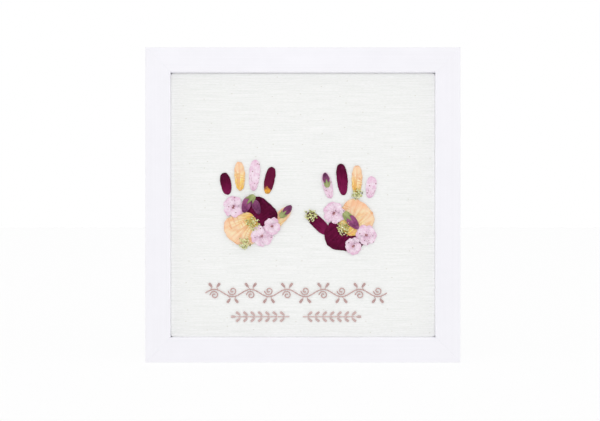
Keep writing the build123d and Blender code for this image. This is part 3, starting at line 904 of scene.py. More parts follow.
def press(outline, tip, seed, curl, folds, ragged=0.06, dome=0.0):
    """One petal over what lies there: vertices, faces and fan coordinates. Lifts are in mm."""
    rim = evenly(outline, SEGMENTS)
    middle = rim.mean(axis=0)
    turn = np.arctan2(*(rim - middle).T[::-1])
    arms = (rim - middle) * (1 - ragged * (0.5 + 0.5 * ripple(turn, seed, RIM_WAVES)))[:, None]
    share = np.linspace(0, 1, RINGS + 1)[1:]
    plan = np.vstack([middle, (middle + share[:, None, None] * arms).reshape(-1, 2)])
    far = np.concatenate([[0], np.repeat(share, SEGMENTS)])
    angle = np.concatenate([[0], np.tile(turn, RINGS)])
    fan = fan_of(plan, rim, tip)
    sway = 2 * math.pi * fan[:, 0] + 0.25 * np.sin(7 * fan[:, 1] + seed)
    pleats = ripple(sway, seed + 2, PLEAT_WAVES) * np.clip(2 * fan[:, 1], 0, 1)
    bends = 6 * fan[:, 1] + 2 * np.sin(sway)
    creases = ripple(bends, seed + 3, BEND_WAVES) * ripple(sway, seed + 4, SWAY_WAVES)
    lift = curl * far**4 * (0.55 + 0.45 * ripple(angle, seed + 1, CURL_WAVES))
    lift += folds * (1.5 + pleats + 0.5 * creases) * np.clip(4 * far, 0, 1)
    lift += dome * np.sqrt(np.clip(1 - far**2, 0, 1))
    under = support(plan)
    top = under + MILLIMETRE * lift + PETAL_SHEET
    bottom = under if dome else top - PETAL_SHEET
    note_top(plan, top)
    sides = [np.column_stack([plan[:, 0], linen_y - level, plan[:, 1]]) for level in (top, bottom)]
    return np.vstack(sides), petal_faces(), np.vstack([fan, fan])


print(f"petals are {PETAL_SHEET * 1000:.1f} mm thick")

# %% Gather petals into a piece


def gather(name, parts, *materials):
    """One object from built parts: [(vertices, faces, fan coordinates, material number)]."""
    points, faces, fans, numbers = [], [], [], []
    for vertices, part_faces, fan, number in parts:
        faces += [tuple(index + len(points) for index in face) for face in part_faces]
        numbers += [number] * len(part_faces)
        points += vertices.tolist()
        fans += fan.tolist()
    mesh = bpy.data.meshes.new(name)
    mesh.from_pydata(points, [], faces)
    fan_map = mesh.uv_layers.new(name="fan")
    corners = np.empty(len(mesh.loops), dtype=int)
    mesh.loops.foreach_get("vertex_index", corners)
    fan_map.data.foreach_set("uv", np.array(fans)[corners].ravel())
    mesh.polygons.foreach_set("material_index", numbers)
    mesh.polygons.foreach_set("use_smooth", [True] * len(faces))
    for material in materials:
        mesh.materials.append(material)
    return link(bpy.data.objects.new(name, mesh))


def settle(piece, node, slot):
    """A finished piece takes a CAD node's place and moves with the frame."""
    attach(piece, "frame")
    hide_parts(node)
    return piece


print("petals can be gathered and settled")

# %% [markdown]
# ## Petal finishes
#
# A petal's colour changes along its length, from the throat to the rim, and its veins are fine
# streaks that fan out. Both read the fan coordinates. Pressing leaves patches of deeper flush and
# wrinkles that run across the veins; the wrinkles are painted darker in the colour of the veins, as
# the shade in them. Drying leaves slow clouds of tone. Peach petals are thicker, so they dry in
# sharp pleats at the throat and a few folds across, which are painted darker as their shade. Pink
# petals carry short dark dashes near their throat and a few freckles. Buds come in two tones.

# %% Petal finish
PATCH_SCALE, CLOUD_SCALE, FRECKLE_SCALE, FOLDED_SCALE = 330.0, 90.0, 300.0, 120.0
PLEAT_SCALE, FOLD_SCALE, DASH_SCALE = (20.0, 1.4, 1.0), (3.0, 9.0, 1.0), (46.0, 7.0, 1.0)
PLEAT_WIDTH, FOLD_WIDTH, THROAT = 0.1, 0.05, 0.36
PATCH_DRIFT, CLOUD_DRIFT = 0.3, 0.7
PLEAT_SHADE, SPECK = colour(224, 142, 82), colour(128, 52, 62)
PETAL_ROUGH, PETAL_RELIEF = 0.66, 0.0002


def ramp(tree, factor, stops):
    """Colours along a ramp: a list of (place, red, green, blue)."""
    made = add(tree, "ShaderNodeValToRGB", {"Fac": factor})
    while len(made.color_ramp.elements) < len(stops):
        made.color_ramp.elements.new(1.0)
    for element, (place, *shade) in zip(made.color_ramp.elements, stops):
        element.position = place
        element.color = colour(*shade)
    return made.outputs["Color"]


def crease_lines(tree, fan, scale, width):
    """Thin lines where a stretched noise crosses its middle value."""
    value = noise(tree, stretch(tree, fan, scale), 1.0, 1.0)
    off = calc(tree, "ABSOLUTE", calc(tree, "SUBTRACT", value, 0.5))
    return span(tree, off, 0.0, width, 1.0, 0.0)


def dried_creases(tree, fan, reach, place):
    """Pleats that fade towards the rim, and folds across them in some places."""
    fading = span(tree, reach, 0.35, 0.9, 1.0, 0.25)
    pleats = calc(tree, "MULTIPLY", crease_lines(tree, fan, PLEAT_SCALE, PLEAT_WIDTH), fading)
    some = span(tree, noise(tree, place, FOLDED_SCALE, 1.0), 0.48, 0.58)
    folds = calc(tree, "MULTIPLY", crease_lines(tree, fan, FOLD_SCALE, FOLD_WIDTH), some)
    return calc(tree, "MAXIMUM", pleats, folds)


def throat_marks(tree, fan, wavering, place, share):
    """Short dashes round the throat, and freckles anywhere."""
    dashes = span(tree, noise(tree, stretch(tree, fan, DASH_SCALE), 1.0, 1.0), 0.58, 0.66, 0.0, share)
    off = calc(tree, "ABSOLUTE", calc(tree, "SUBTRACT", wavering, THROAT))
    dashes = calc(tree, "MULTIPLY", dashes, span(tree, off, 0.08, 0.18, 1.0, 0.0))
    spots = add(tree, "ShaderNodeTexVoronoi", {"Vector": place, "Scale": FRECKLE_SCALE}).outputs["Distance"]
    return calc(tree, "MAXIMUM", dashes, span(tree, spots, 0.1, 0.17, share, 0.0))


def petal_finish(name, stops, vein_and_wrinkle_shade, vein_and_wrinkle_share, flush, streaks=70.0, gloss=0.18, specks=0.0, creases=0.0):
    """A petal's colours by length: veins, flush, wrinkles painted darker as shade, and painted crease shade
    or marks if it has them.
    """
    material, tree, shader = new_finish(name, {"Sheen Weight": gloss / 3, "Specular IOR Level": gloss})
    fan = out(tree, "ShaderNodeUVMap", uv_map="fan")
    reach = axes_of(tree, fan)["Y"]
    place = place_of(tree)
    patches = noise(tree, place, PATCH_SCALE, 3.0, 0.6)
    drift = calc(tree, "MULTIPLY_ADD", patches, PATCH_DRIFT, -0.5)
    drift = calc(tree, "MULTIPLY_ADD", noise(tree, place, CLOUD_SCALE, 1.0), CLOUD_DRIFT, drift)
    wavering = calc(tree, "ADD", reach, drift)
    lines = noise(tree, stretch(tree, fan, (streaks, 2.6, 1.0)), 1.0, 3.0, 0.6)
    wrinkles = noise(tree, stretch(tree, fan, (streaks * 0.3, 9.0, 1.0)), 1.0, 2.0, 0.5)
    flushed = span(tree, patches, 0.45, 0.75, 0.0, 0.8)
    body = mix(tree, flushed, ramp(tree, wavering, stops), colour(*flush))
    # Veins are darker in their own colour; wrinkles are painted darker in the same colour, as their shade.
    for mark in (span(tree, lines, 0.42, 0.68), span(tree, wrinkles, 0.56, 0.72)):
        body = mix(tree, calc(tree, "MULTIPLY", mark, vein_and_wrinkle_share), body, colour(*vein_and_wrinkle_shade))
    height = calc(tree, "MULTIPLY_ADD", wrinkles, 1.4, lines)
    # Creases are painted darker in deep orange, as the shade in them, and also sunk in the bump.
    if creases:
        line = dried_creases(tree, fan, reach, place)
        body = mix(tree, calc(tree, "MULTIPLY", line, creases), body, PLEAT_SHADE)
        height = calc(tree, "SUBTRACT", height, line)
    if specks:
        body = mix(tree, throat_marks(tree, fan, wavering, place, specks), body, SPECK)
    fill(tree, shader, {
        "Base Color": body,
        "Roughness": rough_by(tree, lines, PETAL_ROUGH, PETAL_ROUGH + 0.18),
        "Normal": bumps(tree, height, PETAL_RELIEF, 0.7),
    })
    return material


print("petal finish ready")

# %% Petal colours
PETAL_FINISHES = {
    "plum": petal_finish(
        "plum_petal", [(0.1, 134, 32, 84), (0.4, 114, 19, 67), (0.7, 92, 10, 50), (1.0, 66, 6, 35)],
        vein_and_wrinkle_shade=(56, 4, 30), vein_and_wrinkle_share=0.5, flush=(116, 22, 70), gloss=0.06,
    ),
    "plum_yellow": petal_finish(
        "plum_petal_yellow_throat",
        [(0.1, 250, 206, 104), (0.3, 244, 172, 66), (0.4, 112, 26, 60), (1.0, 88, 11, 48)],
        vein_and_wrinkle_shade=(66, 6, 36), vein_and_wrinkle_share=0.35, flush=(104, 18, 60), gloss=0.06,
    ),
    "peach": petal_finish(
        "peach_petal",
        [(0.1, 255, 197, 66), (0.35, 255, 221, 128), (0.7, 255, 224, 188), (1.0, 252, 187, 150)],
        vein_and_wrinkle_shade=(243, 175, 124), vein_and_wrinkle_share=0.4, flush=(255, 217, 190), creases=0.7,
    ),
    "pink": petal_finish(
        "pink_petal",
        [(0.05, 212, 150, 188), (0.3, 238, 216, 230), (0.75, 244, 229, 238), (1.0, 233, 198, 219)],
        vein_and_wrinkle_shade=(211, 158, 189), vein_and_wrinkle_share=0.38, flush=(220, 174, 202), specks=0.85,
    ),
    "violet": petal_finish(
        "violet_bud", [(0.1, 168, 108, 150), (0.45, 136, 68, 112), (0.85, 98, 40, 82), (1.0, 72, 30, 64)],
        vein_and_wrinkle_shade=(58, 22, 50), vein_and_wrinkle_share=0.45, flush=(146, 80, 122), streaks=40.0,
    ),
    "mauve": petal_finish(
        "mauve_bud", [(0.1, 196, 138, 174), (0.45, 166, 92, 138), (0.85, 132, 60, 108), (1.0, 98, 42, 84)],
        vein_and_wrinkle_shade=(84, 34, 72), vein_and_wrinkle_share=0.4, flush=(172, 104, 148), streaks=40.0,
    ),
    "calyx": petal_finish(
        "calyx_green", [(0.1, 178, 184, 130), (0.6, 152, 164, 108), (1.0, 124, 136, 82)],
        vein_and_wrinkle_shade=(112, 122, 70), vein_and_wrinkle_share=0.4, flush=(166, 172, 120), streaks=30.0,
    ),
}
print("petal finishes:", ", ".join(PETAL_FINISHES))

# %% [markdown]
# ## Laying the hands
#
# The CAD model says in which order the pieces lie, by how high each one is. They are laid here
# in that order. A petal points away from the palm's middle, and a bud away from its calyx. Each
# floret is five notched petals round an eye, and each bud three furled ones, so they are built
# from several small petals inside the outline that the CAD gives them.

# %% Florets, buds and calyxes
FLORET_PETALS, FLORET_TURN = 5, 9
FLORET_LENGTHS, FLORET_BREADTHS = (0.86, 1.0), (0.46, 0.58)
NOTCH_DEPTH, NOTCH_WIDTH = 0.07, 0.35
BUD_PETALS = ((1.0, 0, 0.65), (0.84, 12, 0.2), (0.72, -11, 0.2))
SEPALS, SEPAL_WIDTH = ((-30, 1.1), (28, 1.0), (0, 1.3)), 0.15
ROUND = np.linspace(0, 2 * math.pi, SEGMENTS, endpoint=False)


def rotate(way, degrees):
    """A direction turned to the left by an angle."""
    turn = math.radians(degrees)
    return np.array([[math.cos(turn), -math.sin(turn)], [math.sin(turn), math.cos(turn)]]) @ way


def floret_petal(middle, radius, tip, breadth):
    """A rounded petal with a shallow notch at its tip, from a floret's middle outwards."""
    notch = NOTCH_DEPTH * np.exp(-(np.minimum(ROUND, 2 * math.pi - ROUND) / NOTCH_WIDTH) ** 2)
    along = radius * (0.43 + 0.57 * np.cos(ROUND) - notch)
    across = radius * breadth * np.sin(ROUND) * (1 + 0.3 * np.cos(ROUND))
    return middle + along[:, None] * tip + across[:, None] * left_of(tip)


def lay_floret(outline, seed):
    """Five petals, no two alike, each partly over the one before."""
    middle = outline.mean(axis=0)
    radius = np.linalg.norm(outline - middle, axis=1).max()
    draw = np.random.default_rng(seed)
    start = draw.uniform(0, 360)
    parts = []
    for k in range(FLORET_PETALS):
        turn = start + 360 * k / FLORET_PETALS + draw.uniform(-FLORET_TURN, FLORET_TURN)
        tip = rotate(np.array([1.0, 0.0]), turn)
        length = radius * draw.uniform(*FLORET_LENGTHS)
        petal = floret_petal(middle, length, tip, draw.uniform(*FLORET_BREADTHS))
        parts.append(press(petal, tip, seed + 10 * k, curl=0.24, folds=0.07, ragged=0.18))
    return parts


def base_of(outline, tip):
    """The end of an outline that a petal grows from."""
    middle = outline.mean(axis=0)
    return middle - tip * np.abs((outline - middle) @ tip).max()


def lay_bud(outline, tip, seed):
    """Three furled petals, the narrower ones on top."""
    base, side = base_of(outline, tip), left_of(tip)
    parts = []
    for k, (size, swing, plump) in enumerate(BUD_PETALS):
        turned = np.array([rotate(point, swing) for point in (outline - base)])
        furled = base + turned * size - np.outer(turned @ side, side) * (1 - size)
        parts.append(press(furled, rotate(tip, swing), seed + k, curl=0.05, folds=0.05, dome=plump))
    return parts


def lay_calyx(outline, tip, seed):
    """Three narrow sepals that open from the stalk towards the bud."""
    base = base_of(outline, tip)
    length, width = np.ptp((outline - base) @ tip), np.ptp((outline - base) @ left_of(tip))
    parts = []
    for k, (swing, size) in enumerate(SEPALS):
        way = rotate(tip, swing)
        along = size * length * (0.5 - 0.5 * np.cos(ROUND))
        across = SEPAL_WIDTH * width * np.sin(ROUND) * (1.2 + 0.8 * np.cos(ROUND))
        sepal = base + np.outer(along, way) + np.outer(across, left_of(way))
        parts.append(press(sepal, way, seed + k, curl=0.12, folds=0.04, dome=0.25))
    return parts


print(FLORET_PETALS, "petals to a floret,", len(BUD_PETALS), "to a bud,", len(SEPALS), "sepals to a calyx")

# %% Lay each hand
FINGER_LOOKS = {
    "left": {"little": "plum", "ring": "peach", "middle": "pink", "index": "plum_yellow", "thumb": "peach"},
    "right": {"little": "pink", "ring": "peach", "middle": "plum", "index": "pink", "thumb": "plum"},
}
SMALL_LOOKS = {"pink_florets": "pink", "violet_buds": "violet", "bud_calyxes": "calyx"}
SECOND_LOOKS = {"violet": "mauve"}
SLOTS = {
    "plum": "plum_petal", "plum_yellow": "plum_petal", "peach": "peach_petal", "pink": "pink_petal",
    "violet": "violet_bud", "calyx": "calyx_green",
}
# How much each kind of petal curls and folds, in mm, and how ragged its rim is.
PETAL_HABITS = {"plum": (0.25, 0.05, 0.1), "peach": (0.25, 0.32, 0.14), "pink": (0.3, 0.1, 0.14)}
SLENDER, THINNEST = 1.4, 1e-18


def long_axis(points):
    """The direction in which a set of points is longest, and how long it is for its width."""
    spread = points - points.mean(axis=0)
    values, vectors = np.linalg.eigh(spread.T @ spread)
    return vectors[:, 1], math.sqrt(values[1] / max(values[0], THINNEST))


def outward(outline, origin):
    """The way a petal points: along it if it is long, and away from the origin."""
    away = outline.mean(axis=0) - origin
    axis, slender = long_axis(outline)
    if slender < SLENDER:
        return away / np.linalg.norm(away)
    return axis if axis @ away > 0 else -axis


def nearest(outline, node):
    """The middle of the node's outline that lies nearest."""
    here = outline.mean(axis=0)
    middles = [loop.mean(axis=0) for _, loop in front_loops(node)]
    return min(middles, key=lambda place: np.linalg.norm(place - here))


def look_of(hand, node):
    """The finish of a node, by its name."""
    kind = node[len(hand) + 1:]
    if kind.startswith("palm"):
        return kind.split("_")[1]
    return SMALL_LOOKS.get(kind) or FINGER_LOOKS[hand][kind.split("_")[0]]


def lay_piece(hand, node, outline, seed):
    """Whatever the node is made of, laid at this outline."""
    if node.endswith("florets"):
        return lay_floret(outline, seed)
    if node.endswith("buds"):
        return lay_bud(outline, outward(outline, nearest(outline, f"{hand}_bud_calyxes")), seed)
    if node.endswith("calyxes"):
        return lay_calyx(outline, -outward(outline, nearest(outline, f"{hand}_violet_buds")), seed)
    habit = PETAL_HABITS[look_of(hand, node).split("_")[0]]
    return [press(outline, outward(outline, palm_middle[hand]), seed, *habit)]


def lay_hand(hand):
    """Every petal of a hand, lowest first, gathered into one piece for each CAD node."""
    nodes = [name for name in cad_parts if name.startswith(hand)]
    nodes = sorted(name for name in nodes if name.split("_")[1] not in ("rail", "umbel"))
    waiting = [(top, node, outline) for node in nodes for top, outline in front_loops(node)]
    parts = {node: [] for node in nodes}
    for order, (_, node, outline) in enumerate(sorted(waiting, key=lambda item: item[:2])):
        made = lay_piece(hand, node, outline, 100 * order)
        parts[node] += [(*part, len(parts[node]) // len(made) % 2) for part in made]
    for node in nodes:
        look = look_of(hand, node)
        finishes = [PETAL_FINISHES[name] for name in (look, SECOND_LOOKS.get(look, look))]
        settle(gather(f"pressed_{node}", parts[node], *finishes), node, SLOTS[look])
    return len(waiting)


for hand in HANDS:
    print(hand, "hand:", lay_hand(hand), "pieces laid")
print(f"flowers stand up to {heights.max() * 1000:.2f} mm off the linen")

# %% [markdown]
# ## Flower heads
#
# The green-gold sprigs are heads of tiny flowers on short stalks, and the florets have a few
# dark stamens at their eye. Both are one small shape scattered many times. Python gives the
# points, in a loose form of the spiral in which seeds pack, and a tree puts a five-pointed flower
# on a stalk at each, leaning outwards, with a random turn, size and tint. Low flowers are painted
# darker, as the shade of the flowers above them, which gives a head its depth.

# %% Flower-head tree
STAR_CORNERS, STAR_PINCH, STAR_DEPTH, STAR_FOOT = 10, 0.62, 0.4, 0.3
STALK_SIDES, STALK_TOP, STALK_FOOT = 4, 0.22, 0.12
FLOWER_TURNS, FLOWER_SIZES, FLOWER_TINTS = (0.0, 6.28), (0.65, 1.25), (0.0, 1.0)
TINT_SEED = 7


def flower_shape(tree, number, stalk_length):
    """A star-shaped bell, every second corner drawn in, on a stalk that hangs below it."""
    bell = out(tree, "GeometryNodeMeshCone", {
        "Vertices": STAR_CORNERS, "Radius Top": 1.0, "Radius Bottom": STAR_FOOT, "Depth": STAR_DEPTH,
    }, fill_type="TRIANGLE_FAN")
    pinch = span(tree, calc(tree, "MODULO", number, 2.0), 0.0, 1.0, 1.0, STAR_PINCH)
    star = moved(tree, bell, scaled(tree, out(tree, "GeometryNodeInputPosition"), pinch))
    crisp = {"Geometry": star, "Shade Smooth": False}
    star = out(tree, "GeometryNodeSetShadeSmooth", crisp, domain="EDGE")
    stalk = out(tree, "GeometryNodeMeshCone", {
        "Vertices": STALK_SIDES, "Radius Top": STALK_TOP, "Radius Bottom": STALK_FOOT, "Depth": stalk_length,
    }, fill_type="NGON")
    hung = out(tree, "GeometryNodeTransform", {
        "Geometry": marked(tree, stalk, "stalk", 1.0),
        "Translation": joined(tree, Z=calc(tree, "MULTIPLY", stalk_length, -1.0)),
    })
    flower = add(tree, "GeometryNodeJoinGeometry")
    for part in (star, hung):
        tree.links.new(part, flower.inputs[0])
    return flower.outputs[0]


def head_tree():
    """A tiny flower at every vertex, along the vertex's lean."""
    tree, given = new_tree("flower_heads", {
        "Points": bpy.types.Mesh, "Flower Size": float, "Stalk": float, "Seed": int,
        "Finish": bpy.types.Material,
    })
    number = out(tree, "GeometryNodeInputIndex")

    def chance(low, high, seed):
        sockets = {2: low, 3: high, "ID": number, "Seed": seed}
        return add(tree, "FunctionNodeRandomValue", sockets).outputs[1]

    lean = kept(tree, "lean", "FLOAT_VECTOR")
    aimed = out(tree, "FunctionNodeAlignRotationToVector", {"Vector": lean}, axis="Z")
    spin = {"Axis": (0, 0, 1), "Angle": chance(*FLOWER_TURNS, given["Seed"])}
    own_turn = out(tree, "FunctionNodeAxisAngleToRotation", spin)
    turned = {"Rotation": aimed, "Rotate By": own_turn}
    size = chance(*FLOWER_SIZES, given["Seed"])
    flowers = out(tree, "GeometryNodeInstanceOnPoints", {
        "Points": given["Points"], "Instance": flower_shape(tree, number, given["Stalk"]),
        "Rotation": out(tree, "FunctionNodeRotateRotation", turned, rotation_space="LOCAL"),
        "Scale": calc(tree, "MULTIPLY", size, given["Flower Size"]),
    })
    tinted = marked(tree, flowers, "tint", chance(*FLOWER_TINTS, TINT_SEED), domain="INSTANCE")
    close_tree(tree, tinted, given["Finish"])
    return tree


heads = head_tree()
print("flower-head tree has", len(heads.nodes), "nodes")

# %% Flower colours
TINT_SHARE, HEIGHT_SHADE_SHARE, MOTTLE_SHARE = 0.35, 0.5, 0.3
FLOWER_ROUGH, MOTTLE_SCALE = 0.7, 1500.0


def remembered(tree, name):
    """What the surface remembers under a name."""
    return add(tree, "ShaderNodeAttribute", attribute_name=name).outputs["Fac"]


def tinted_finish(name, stops, stalk_colour_and_shade):
    """A colour for each scattered flower, from its tint and its height, painted darker the lower it stands as
    shade, and one for the stalks, partly painted shade on the umbels.
    """
    material, tree, shader = new_finish(name, {"Specular IOR Level": 0.15, "Sheen Weight": 0.05})
    mottle = noise(tree, place_of(tree), MOTTLE_SCALE, 2.0)
    # Low flowers are painted darker, as the shade of the flowers above them.
    tone = calc(tree, "MULTIPLY", remembered(tree, "stand"), HEIGHT_SHADE_SHARE)
    tone = calc(tree, "MULTIPLY_ADD", remembered(tree, "tint"), TINT_SHARE, tone)
    flower = ramp(tree, calc(tree, "MULTIPLY_ADD", mottle, MOTTLE_SHARE, tone), stops)
    fill(tree, shader, {
        "Base Color": mix(tree, remembered(tree, "stalk"), flower, stalk_colour_and_shade),
        "Roughness": rough_by(tree, mottle, FLOWER_ROUGH, FLOWER_ROUGH + 0.15),
    })
    return material


# The umbel stalks' dark green is partly their own colour and partly painted shade in the gaps under the
# flowers.
umbel = tinted_finish("umbel_green", [
    (0.15, 98, 102, 50), (0.4, 168, 170, 98), (0.65, 220, 220, 156), (0.95, 250, 250, 216),
], colour(84, 90, 46))
stamen = tinted_finish("stamen_brown", [
    (0.0, 92, 34, 44), (0.6, 140, 62, 66), (1.0, 196, 142, 90),
], colour(132, 70, 64))
print("flower colours:", umbel.name, "and", stamen.name)

# %% Sprigs and stamens
GOLDEN_TURN = math.pi * (3 - math.sqrt(5))
HEAD_LEAN, HEAD_LOBES, LOBE_WAVES = 0.9, 0.16, (2, 3, 5)
HEAD_SHIFT, HEAD_SPREAD = 0.7, (0.75, 1.05)
HEAD_SEED = 5
UMBEL_HEAD = {"share": 1.18, "rise": 0.0014, "count": 84}
UMBEL_FLOWER = {"Flower Size": 0.00062, "Stalk": 1.8}
STAMEN_HEAD = {"share": 0.15, "rise": 0.0003, "count": 10}
STAMEN_FLOWER = {"Flower Size": 0.0004, "Stalk": 1.0}


def points_mesh(name, points, **attributes):
    """A mesh of loose points, each with its own attributes."""
    mesh = bpy.data.meshes.new(name)
    mesh.from_pydata([tuple(map(float, point)) for point in points], [], [])
    for label, values in attributes.items():
        values = np.asarray(values, dtype=float)
        kind, field = ("FLOAT_VECTOR", "vector") if values.ndim == 2 else ("FLOAT", "value")
        mesh.attributes.new(label, kind, "POINT").data.foreach_set(field, values.ravel())
    return mesh


def head_points(middle, radius, rise, count):
    """Places in a loose seed spiral on a low dome, which way each flower leans, and how it stands."""
    k = np.arange(count) + 0.5
    reach = np.sqrt(k / count)
    seed = abs(round(float(middle.sum()) * 1e5))
    draw = np.random.default_rng(seed)
    angle = k * GOLDEN_TURN + draw.uniform(-HEAD_SHIFT, HEAD_SHIFT, count)
    spread = np.column_stack([np.cos(angle), np.sin(angle)]) * reach[:, None]
    lobes = 1 + HEAD_LOBES * ripple(angle, seed, LOBE_WAVES)
    spread *= (draw.uniform(*HEAD_SPREAD, count) * lobes)[:, None]
    plan = middle + spread * radius
    stand = draw.uniform(0, 1, count)
    level = support(plan) + rise * (0.35 + 0.65 * (1 - reach**2)) * (0.4 + 0.7 * stand)
    places = np.column_stack([plan[:, 0], linen_y - level, plan[:, 1]])
    leans = np.column_stack([spread[:, 0] * HEAD_LEAN, -np.ones(count), spread[:, 1] * HEAD_LEAN])
    return places, leans, stand


def grow_heads(name, node, head, finish, flower):
    """A head of flowers in each outline of a node, all as one mesh."""
    made = []
    for _, outline in front_loops(node):
        middle = outline.mean(axis=0)
        radius = head["share"] * np.linalg.norm(outline - middle, axis=1).mean()
        made.append(head_points(middle, radius, head["rise"], head["count"]))
    places, leans, stand = (np.concatenate(column) for column in zip(*made))
    start = points_mesh(name, places, lean=leans, stand=stand)
    print(name, "has", len(made), "heads and", len(places), "flowers")
    return grow(name, heads, start, {**flower, "Seed": HEAD_SEED, "Finish": finish})


for hand in HANDS:
    sprigs = f"{hand}_umbel_sprigs"
    settle(grow_heads(f"pressed_{sprigs}", sprigs, UMBEL_HEAD, umbel, UMBEL_FLOWER), sprigs, "umbel_green")
    eye = grow_heads(f"stamens_{hand}", f"{hand}_pink_florets", STAMEN_HEAD, stamen, STAMEN_FLOWER)
    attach(eye, "frame")

# %% [markdown]
# ## Stitches
#
# The ornament is worked in twisted cotton: back stitches along the stems and curls, and
# fishbone leaves, whose threads slant from the midrib to both edges. Each CAD solid gives one
# stitch or one leaf. Python reads where each thread lies, adds a short stalk from each leaf to the
# nearest stitch, and the tree puts a swollen, twisted thread there, long enough to share its holes
# with the next. Storing how far along and how far round each point lies lets the finish draw the
# twist at the same pitch on long threads and short ones. Sewing also draws the cloth in, so the
# linen gets a soft hollow along each row.

# %% Stitch tree
THREAD_END = 0.3


def stitch_tree():
    """A thread at every vertex, as long, as thick and in the direction that the vertex says."""
    tree, given = new_tree("stitches", {
        "Points": bpy.types.Mesh, "Bends": int, "Sides": int, "Flatness": float,
        "Finish": bpy.types.Material,
    })
    share = add(tree, "GeometryNodeSplineParameter").outputs["Factor"]
    line = out(tree, "GeometryNodeCurvePrimitiveLine", {"Start": (-0.5, 0, 0), "End": (0.5, 0, 0)})
    line = out(tree, "GeometryNodeResampleCurve", {"Curve": line, "Count": given["Bends"]})
    hoop = out(tree, "GeometryNodeCurvePrimitiveCircle", {"Resolution": given["Sides"], "Radius": 0.5})
    off_middle = calc(tree, "MULTIPLY_ADD", share, 2.0, -1.0)
    square = calc(tree, "MULTIPLY", off_middle, off_middle)
    swell = calc(tree, "SQRT", calc(tree, "SUBTRACT", 1.0, calc(tree, "MULTIPLY", square, square)))
    thread = out(tree, "GeometryNodeCurveToMesh", {
        "Curve": marked(tree, line, "along", share), "Profile Curve": marked(tree, hoop, "around", share),
        "Scale": calc(tree, "MAXIMUM", swell, THREAD_END), "Fill Caps": True,
    })
    girth = kept(tree, "girth")
    aim = joined(tree, Y=calc(tree, "MULTIPLY", kept(tree, "heading"), -1.0))
    flat_girth = calc(tree, "MULTIPLY", girth, given["Flatness"])
    sewn = out(tree, "GeometryNodeInstanceOnPoints", {
        "Points": given["Points"], "Instance": thread,
        "Rotation": out(tree, "FunctionNodeEulerToRotation", {0: aim}),
        "Scale": joined(tree, X=kept(tree, "reach"), Y=flat_girth, Z=girth),
    })
    close_tree(tree, sewn, given["Finish"])
    return tree


sewing = stitch_tree()
print("stitch tree has", len(sewing.nodes), "nodes")

# %% Thread finish
PLY_PITCH, PLY_RELIEF, FUZZ_SCALE = 0.0011, 0.00006, 2600.0
PLY_SHADES = (0.1, 0.5, 0.9)


def thread_finish(name, *shades):
    """Dusty rose cotton in three shades, painted darkest as shade where its plies turn under."""
    material, tree, shader = new_finish(name, {"Sheen Weight": 0.2, "Specular IOR Level": 0.3})
    plies = calc(tree, "DIVIDE", remembered(tree, "reach"), PLY_PITCH)
    turns = calc(tree, "MULTIPLY_ADD", remembered(tree, "along"), plies, remembered(tree, "around"))
    twist = calc(tree, "SINE", calc(tree, "MULTIPLY", turns, 2 * math.pi))
    fuzz = noise(tree, place_of(tree), FUZZ_SCALE, 2.0)
    # The twist is painted darker as the shade where each ply turns under.
    tone = calc(tree, "MULTIPLY_ADD", twist, 0.28, calc(tree, "MULTIPLY_ADD", fuzz, 0.5, 0.25))
    fill(tree, shader, {
        "Base Color": ramp(tree, tone, [(at, *shade) for at, shade in zip(PLY_SHADES, shades)]),
        "Roughness": rough_by(tree, fuzz, 0.6, 0.8),
        "Normal": bumps(tree, twist, PLY_RELIEF, 0.6),
    })
    return material


THREADS = {
    "stitched_vine": thread_finish("rose_thread", (168, 130, 127), (196, 161, 158), (214, 184, 180)),
    "stitched_sprays": thread_finish("pale_rose_thread", (184, 152, 149), (211, 182, 179), (226, 203, 199)),
}
print("threads:", ", ".join(rose.name for rose in THREADS.values()))

# %% Where the threads lie
LEAF_BREADTH, LEAF_THREAD = 0.0014, 0.00042
LEAF_ROWS, LEAF_FROM, LEAF_TO = 9, -0.42, 0.34
LEAF_SLANT = 52.0
STALK_MEETS = 0.4
STITCH_LAP = 1.3


def stitch_of(outline):
    """The thread that fills a back stitch: its middle, heading, length and thickness."""
    axis, _ = long_axis(outline)
    middle = (outline.max(axis=0) + outline.min(axis=0)) / 2
    along, across = (outline - middle) @ axis, (outline - middle) @ left_of(axis)
    return middle, math.atan2(axis[1], axis[0]), np.ptp(along), np.ptp(across)


def leaf_threads(outline, stems):
    """A stalk from the nearest stitch, and slanted threads row by row on both sides of the midrib."""
    middle, heading, length, _ = stitch_of(outline)
    axis = np.array([math.cos(heading), math.sin(heading)])
    root = stems[np.argmin(np.hypot(*(stems - middle).T))]
    if (middle - root) @ axis < 0:
        axis, heading = -axis, heading + math.pi
    stalk = middle - STALK_MEETS * length * axis - root
    yield root + stalk / 2, math.atan2(stalk[1], stalk[0]), np.hypot(*stalk), LEAF_THREAD
    along, across = (outline - middle) @ axis, np.abs((outline - middle) @ left_of(axis))
    for place in np.linspace(LEAF_FROM, LEAF_TO, LEAF_ROWS) * length:
        breadth = across[np.argsort(np.abs(along - place))[:4]].max()
        reach = breadth / math.sin(math.radians(LEAF_SLANT))
        for turn in (-LEAF_SLANT, LEAF_SLANT):
            start = middle + place * axis
            yield start + rotate(axis, turn) * reach / 2, heading + math.radians(turn), reach, LEAF_THREAD


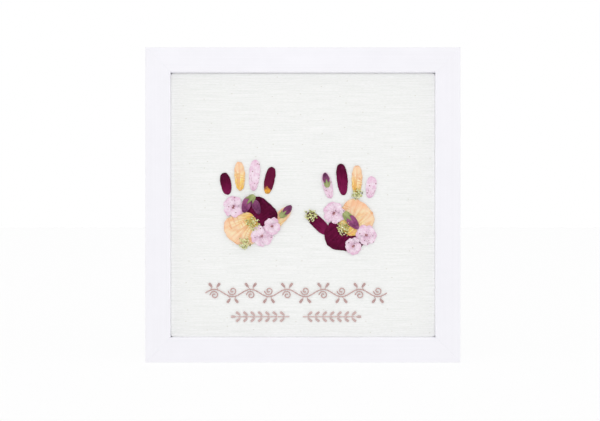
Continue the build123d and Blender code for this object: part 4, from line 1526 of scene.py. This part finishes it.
def threads_of(node):
    """Every thread of a row of ornament."""
    outlines = [outline for _, outline in front_loops(node)]
    stitches = [stitch_of(outline) for outline in outlines]
    stems = np.array([middle for middle, _, _, girth in stitches if girth <= LEAF_BREADTH])
    for outline, (middle, heading, length, girth) in zip(outlines, stitches):
        if girth > LEAF_BREADTH:
            yield from leaf_threads(outline, stems)
        else:
            yield middle, heading, length * STITCH_LAP, girth


print({node: len(front_loops(node)) for node in THREADS}, "stitches and leaves")

# %% Sew the ornament
STITCH_CENTRE = 0.00004
PUCKER_DEPTH, PUCKER_REACH = 0.0003, 0.0017
THREAD_SHAPE = {"Bends": 7, "Sides": 6, "Flatness": 0.6}


def draw_in(middles):
    """The cloth pulled back a little round every thread."""
    spots = np.empty(3 * len(cloth.data.vertices))
    cloth.data.vertices.foreach_get("co", spots)
    spots = spots.reshape(-1, 3)
    plan, middles = spots[:, [0, 2]], np.array(middles)
    margin = 3 * PUCKER_REACH
    beside = np.all((plan > middles.min(axis=0) - margin) & (plan < middles.max(axis=0) + margin), axis=1)
    on_face = spots[:, 1] < linen_y + SLUB_HEIGHT + PUCKER_DEPTH
    near = np.flatnonzero(beside & on_face)
    off = np.array([np.hypot(*(middles - spot).T).min() for spot in plan[near]])
    spots[near, 1] += PUCKER_DEPTH * np.exp(-((off / PUCKER_REACH) ** 2))
    cloth.data.vertices.foreach_set("co", spots.ravel())
    cloth.data.update()


for node, rose in THREADS.items():
    middles, headings, lengths, girths = zip(*threads_of(node))
    places = [(x, linen_y - STITCH_CENTRE, z) for x, z in middles]
    start = points_mesh(node, places, heading=headings, reach=lengths, girth=girths)
    sewn = grow(f"sewn_{node}", sewing, start, {**THREAD_SHAPE, "Finish": rose})
    settle(sewn, node, "thread")
    draw_in(middles)
    print(node, "has", len(places), "threads,", len(sewn.data.polygons), "faces")

# %% [markdown]
#
# Dressing must not change the object's size. The CAD box from the start and the dressed model's
# box are printed side by side.

visual_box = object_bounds()
sizes = {"cad": [list(corner) for corner in cad_box], "visual": [list(corner) for corner in visual_box]}
print("CAD box", sizes["cad"], "visual box", sizes["visual"])
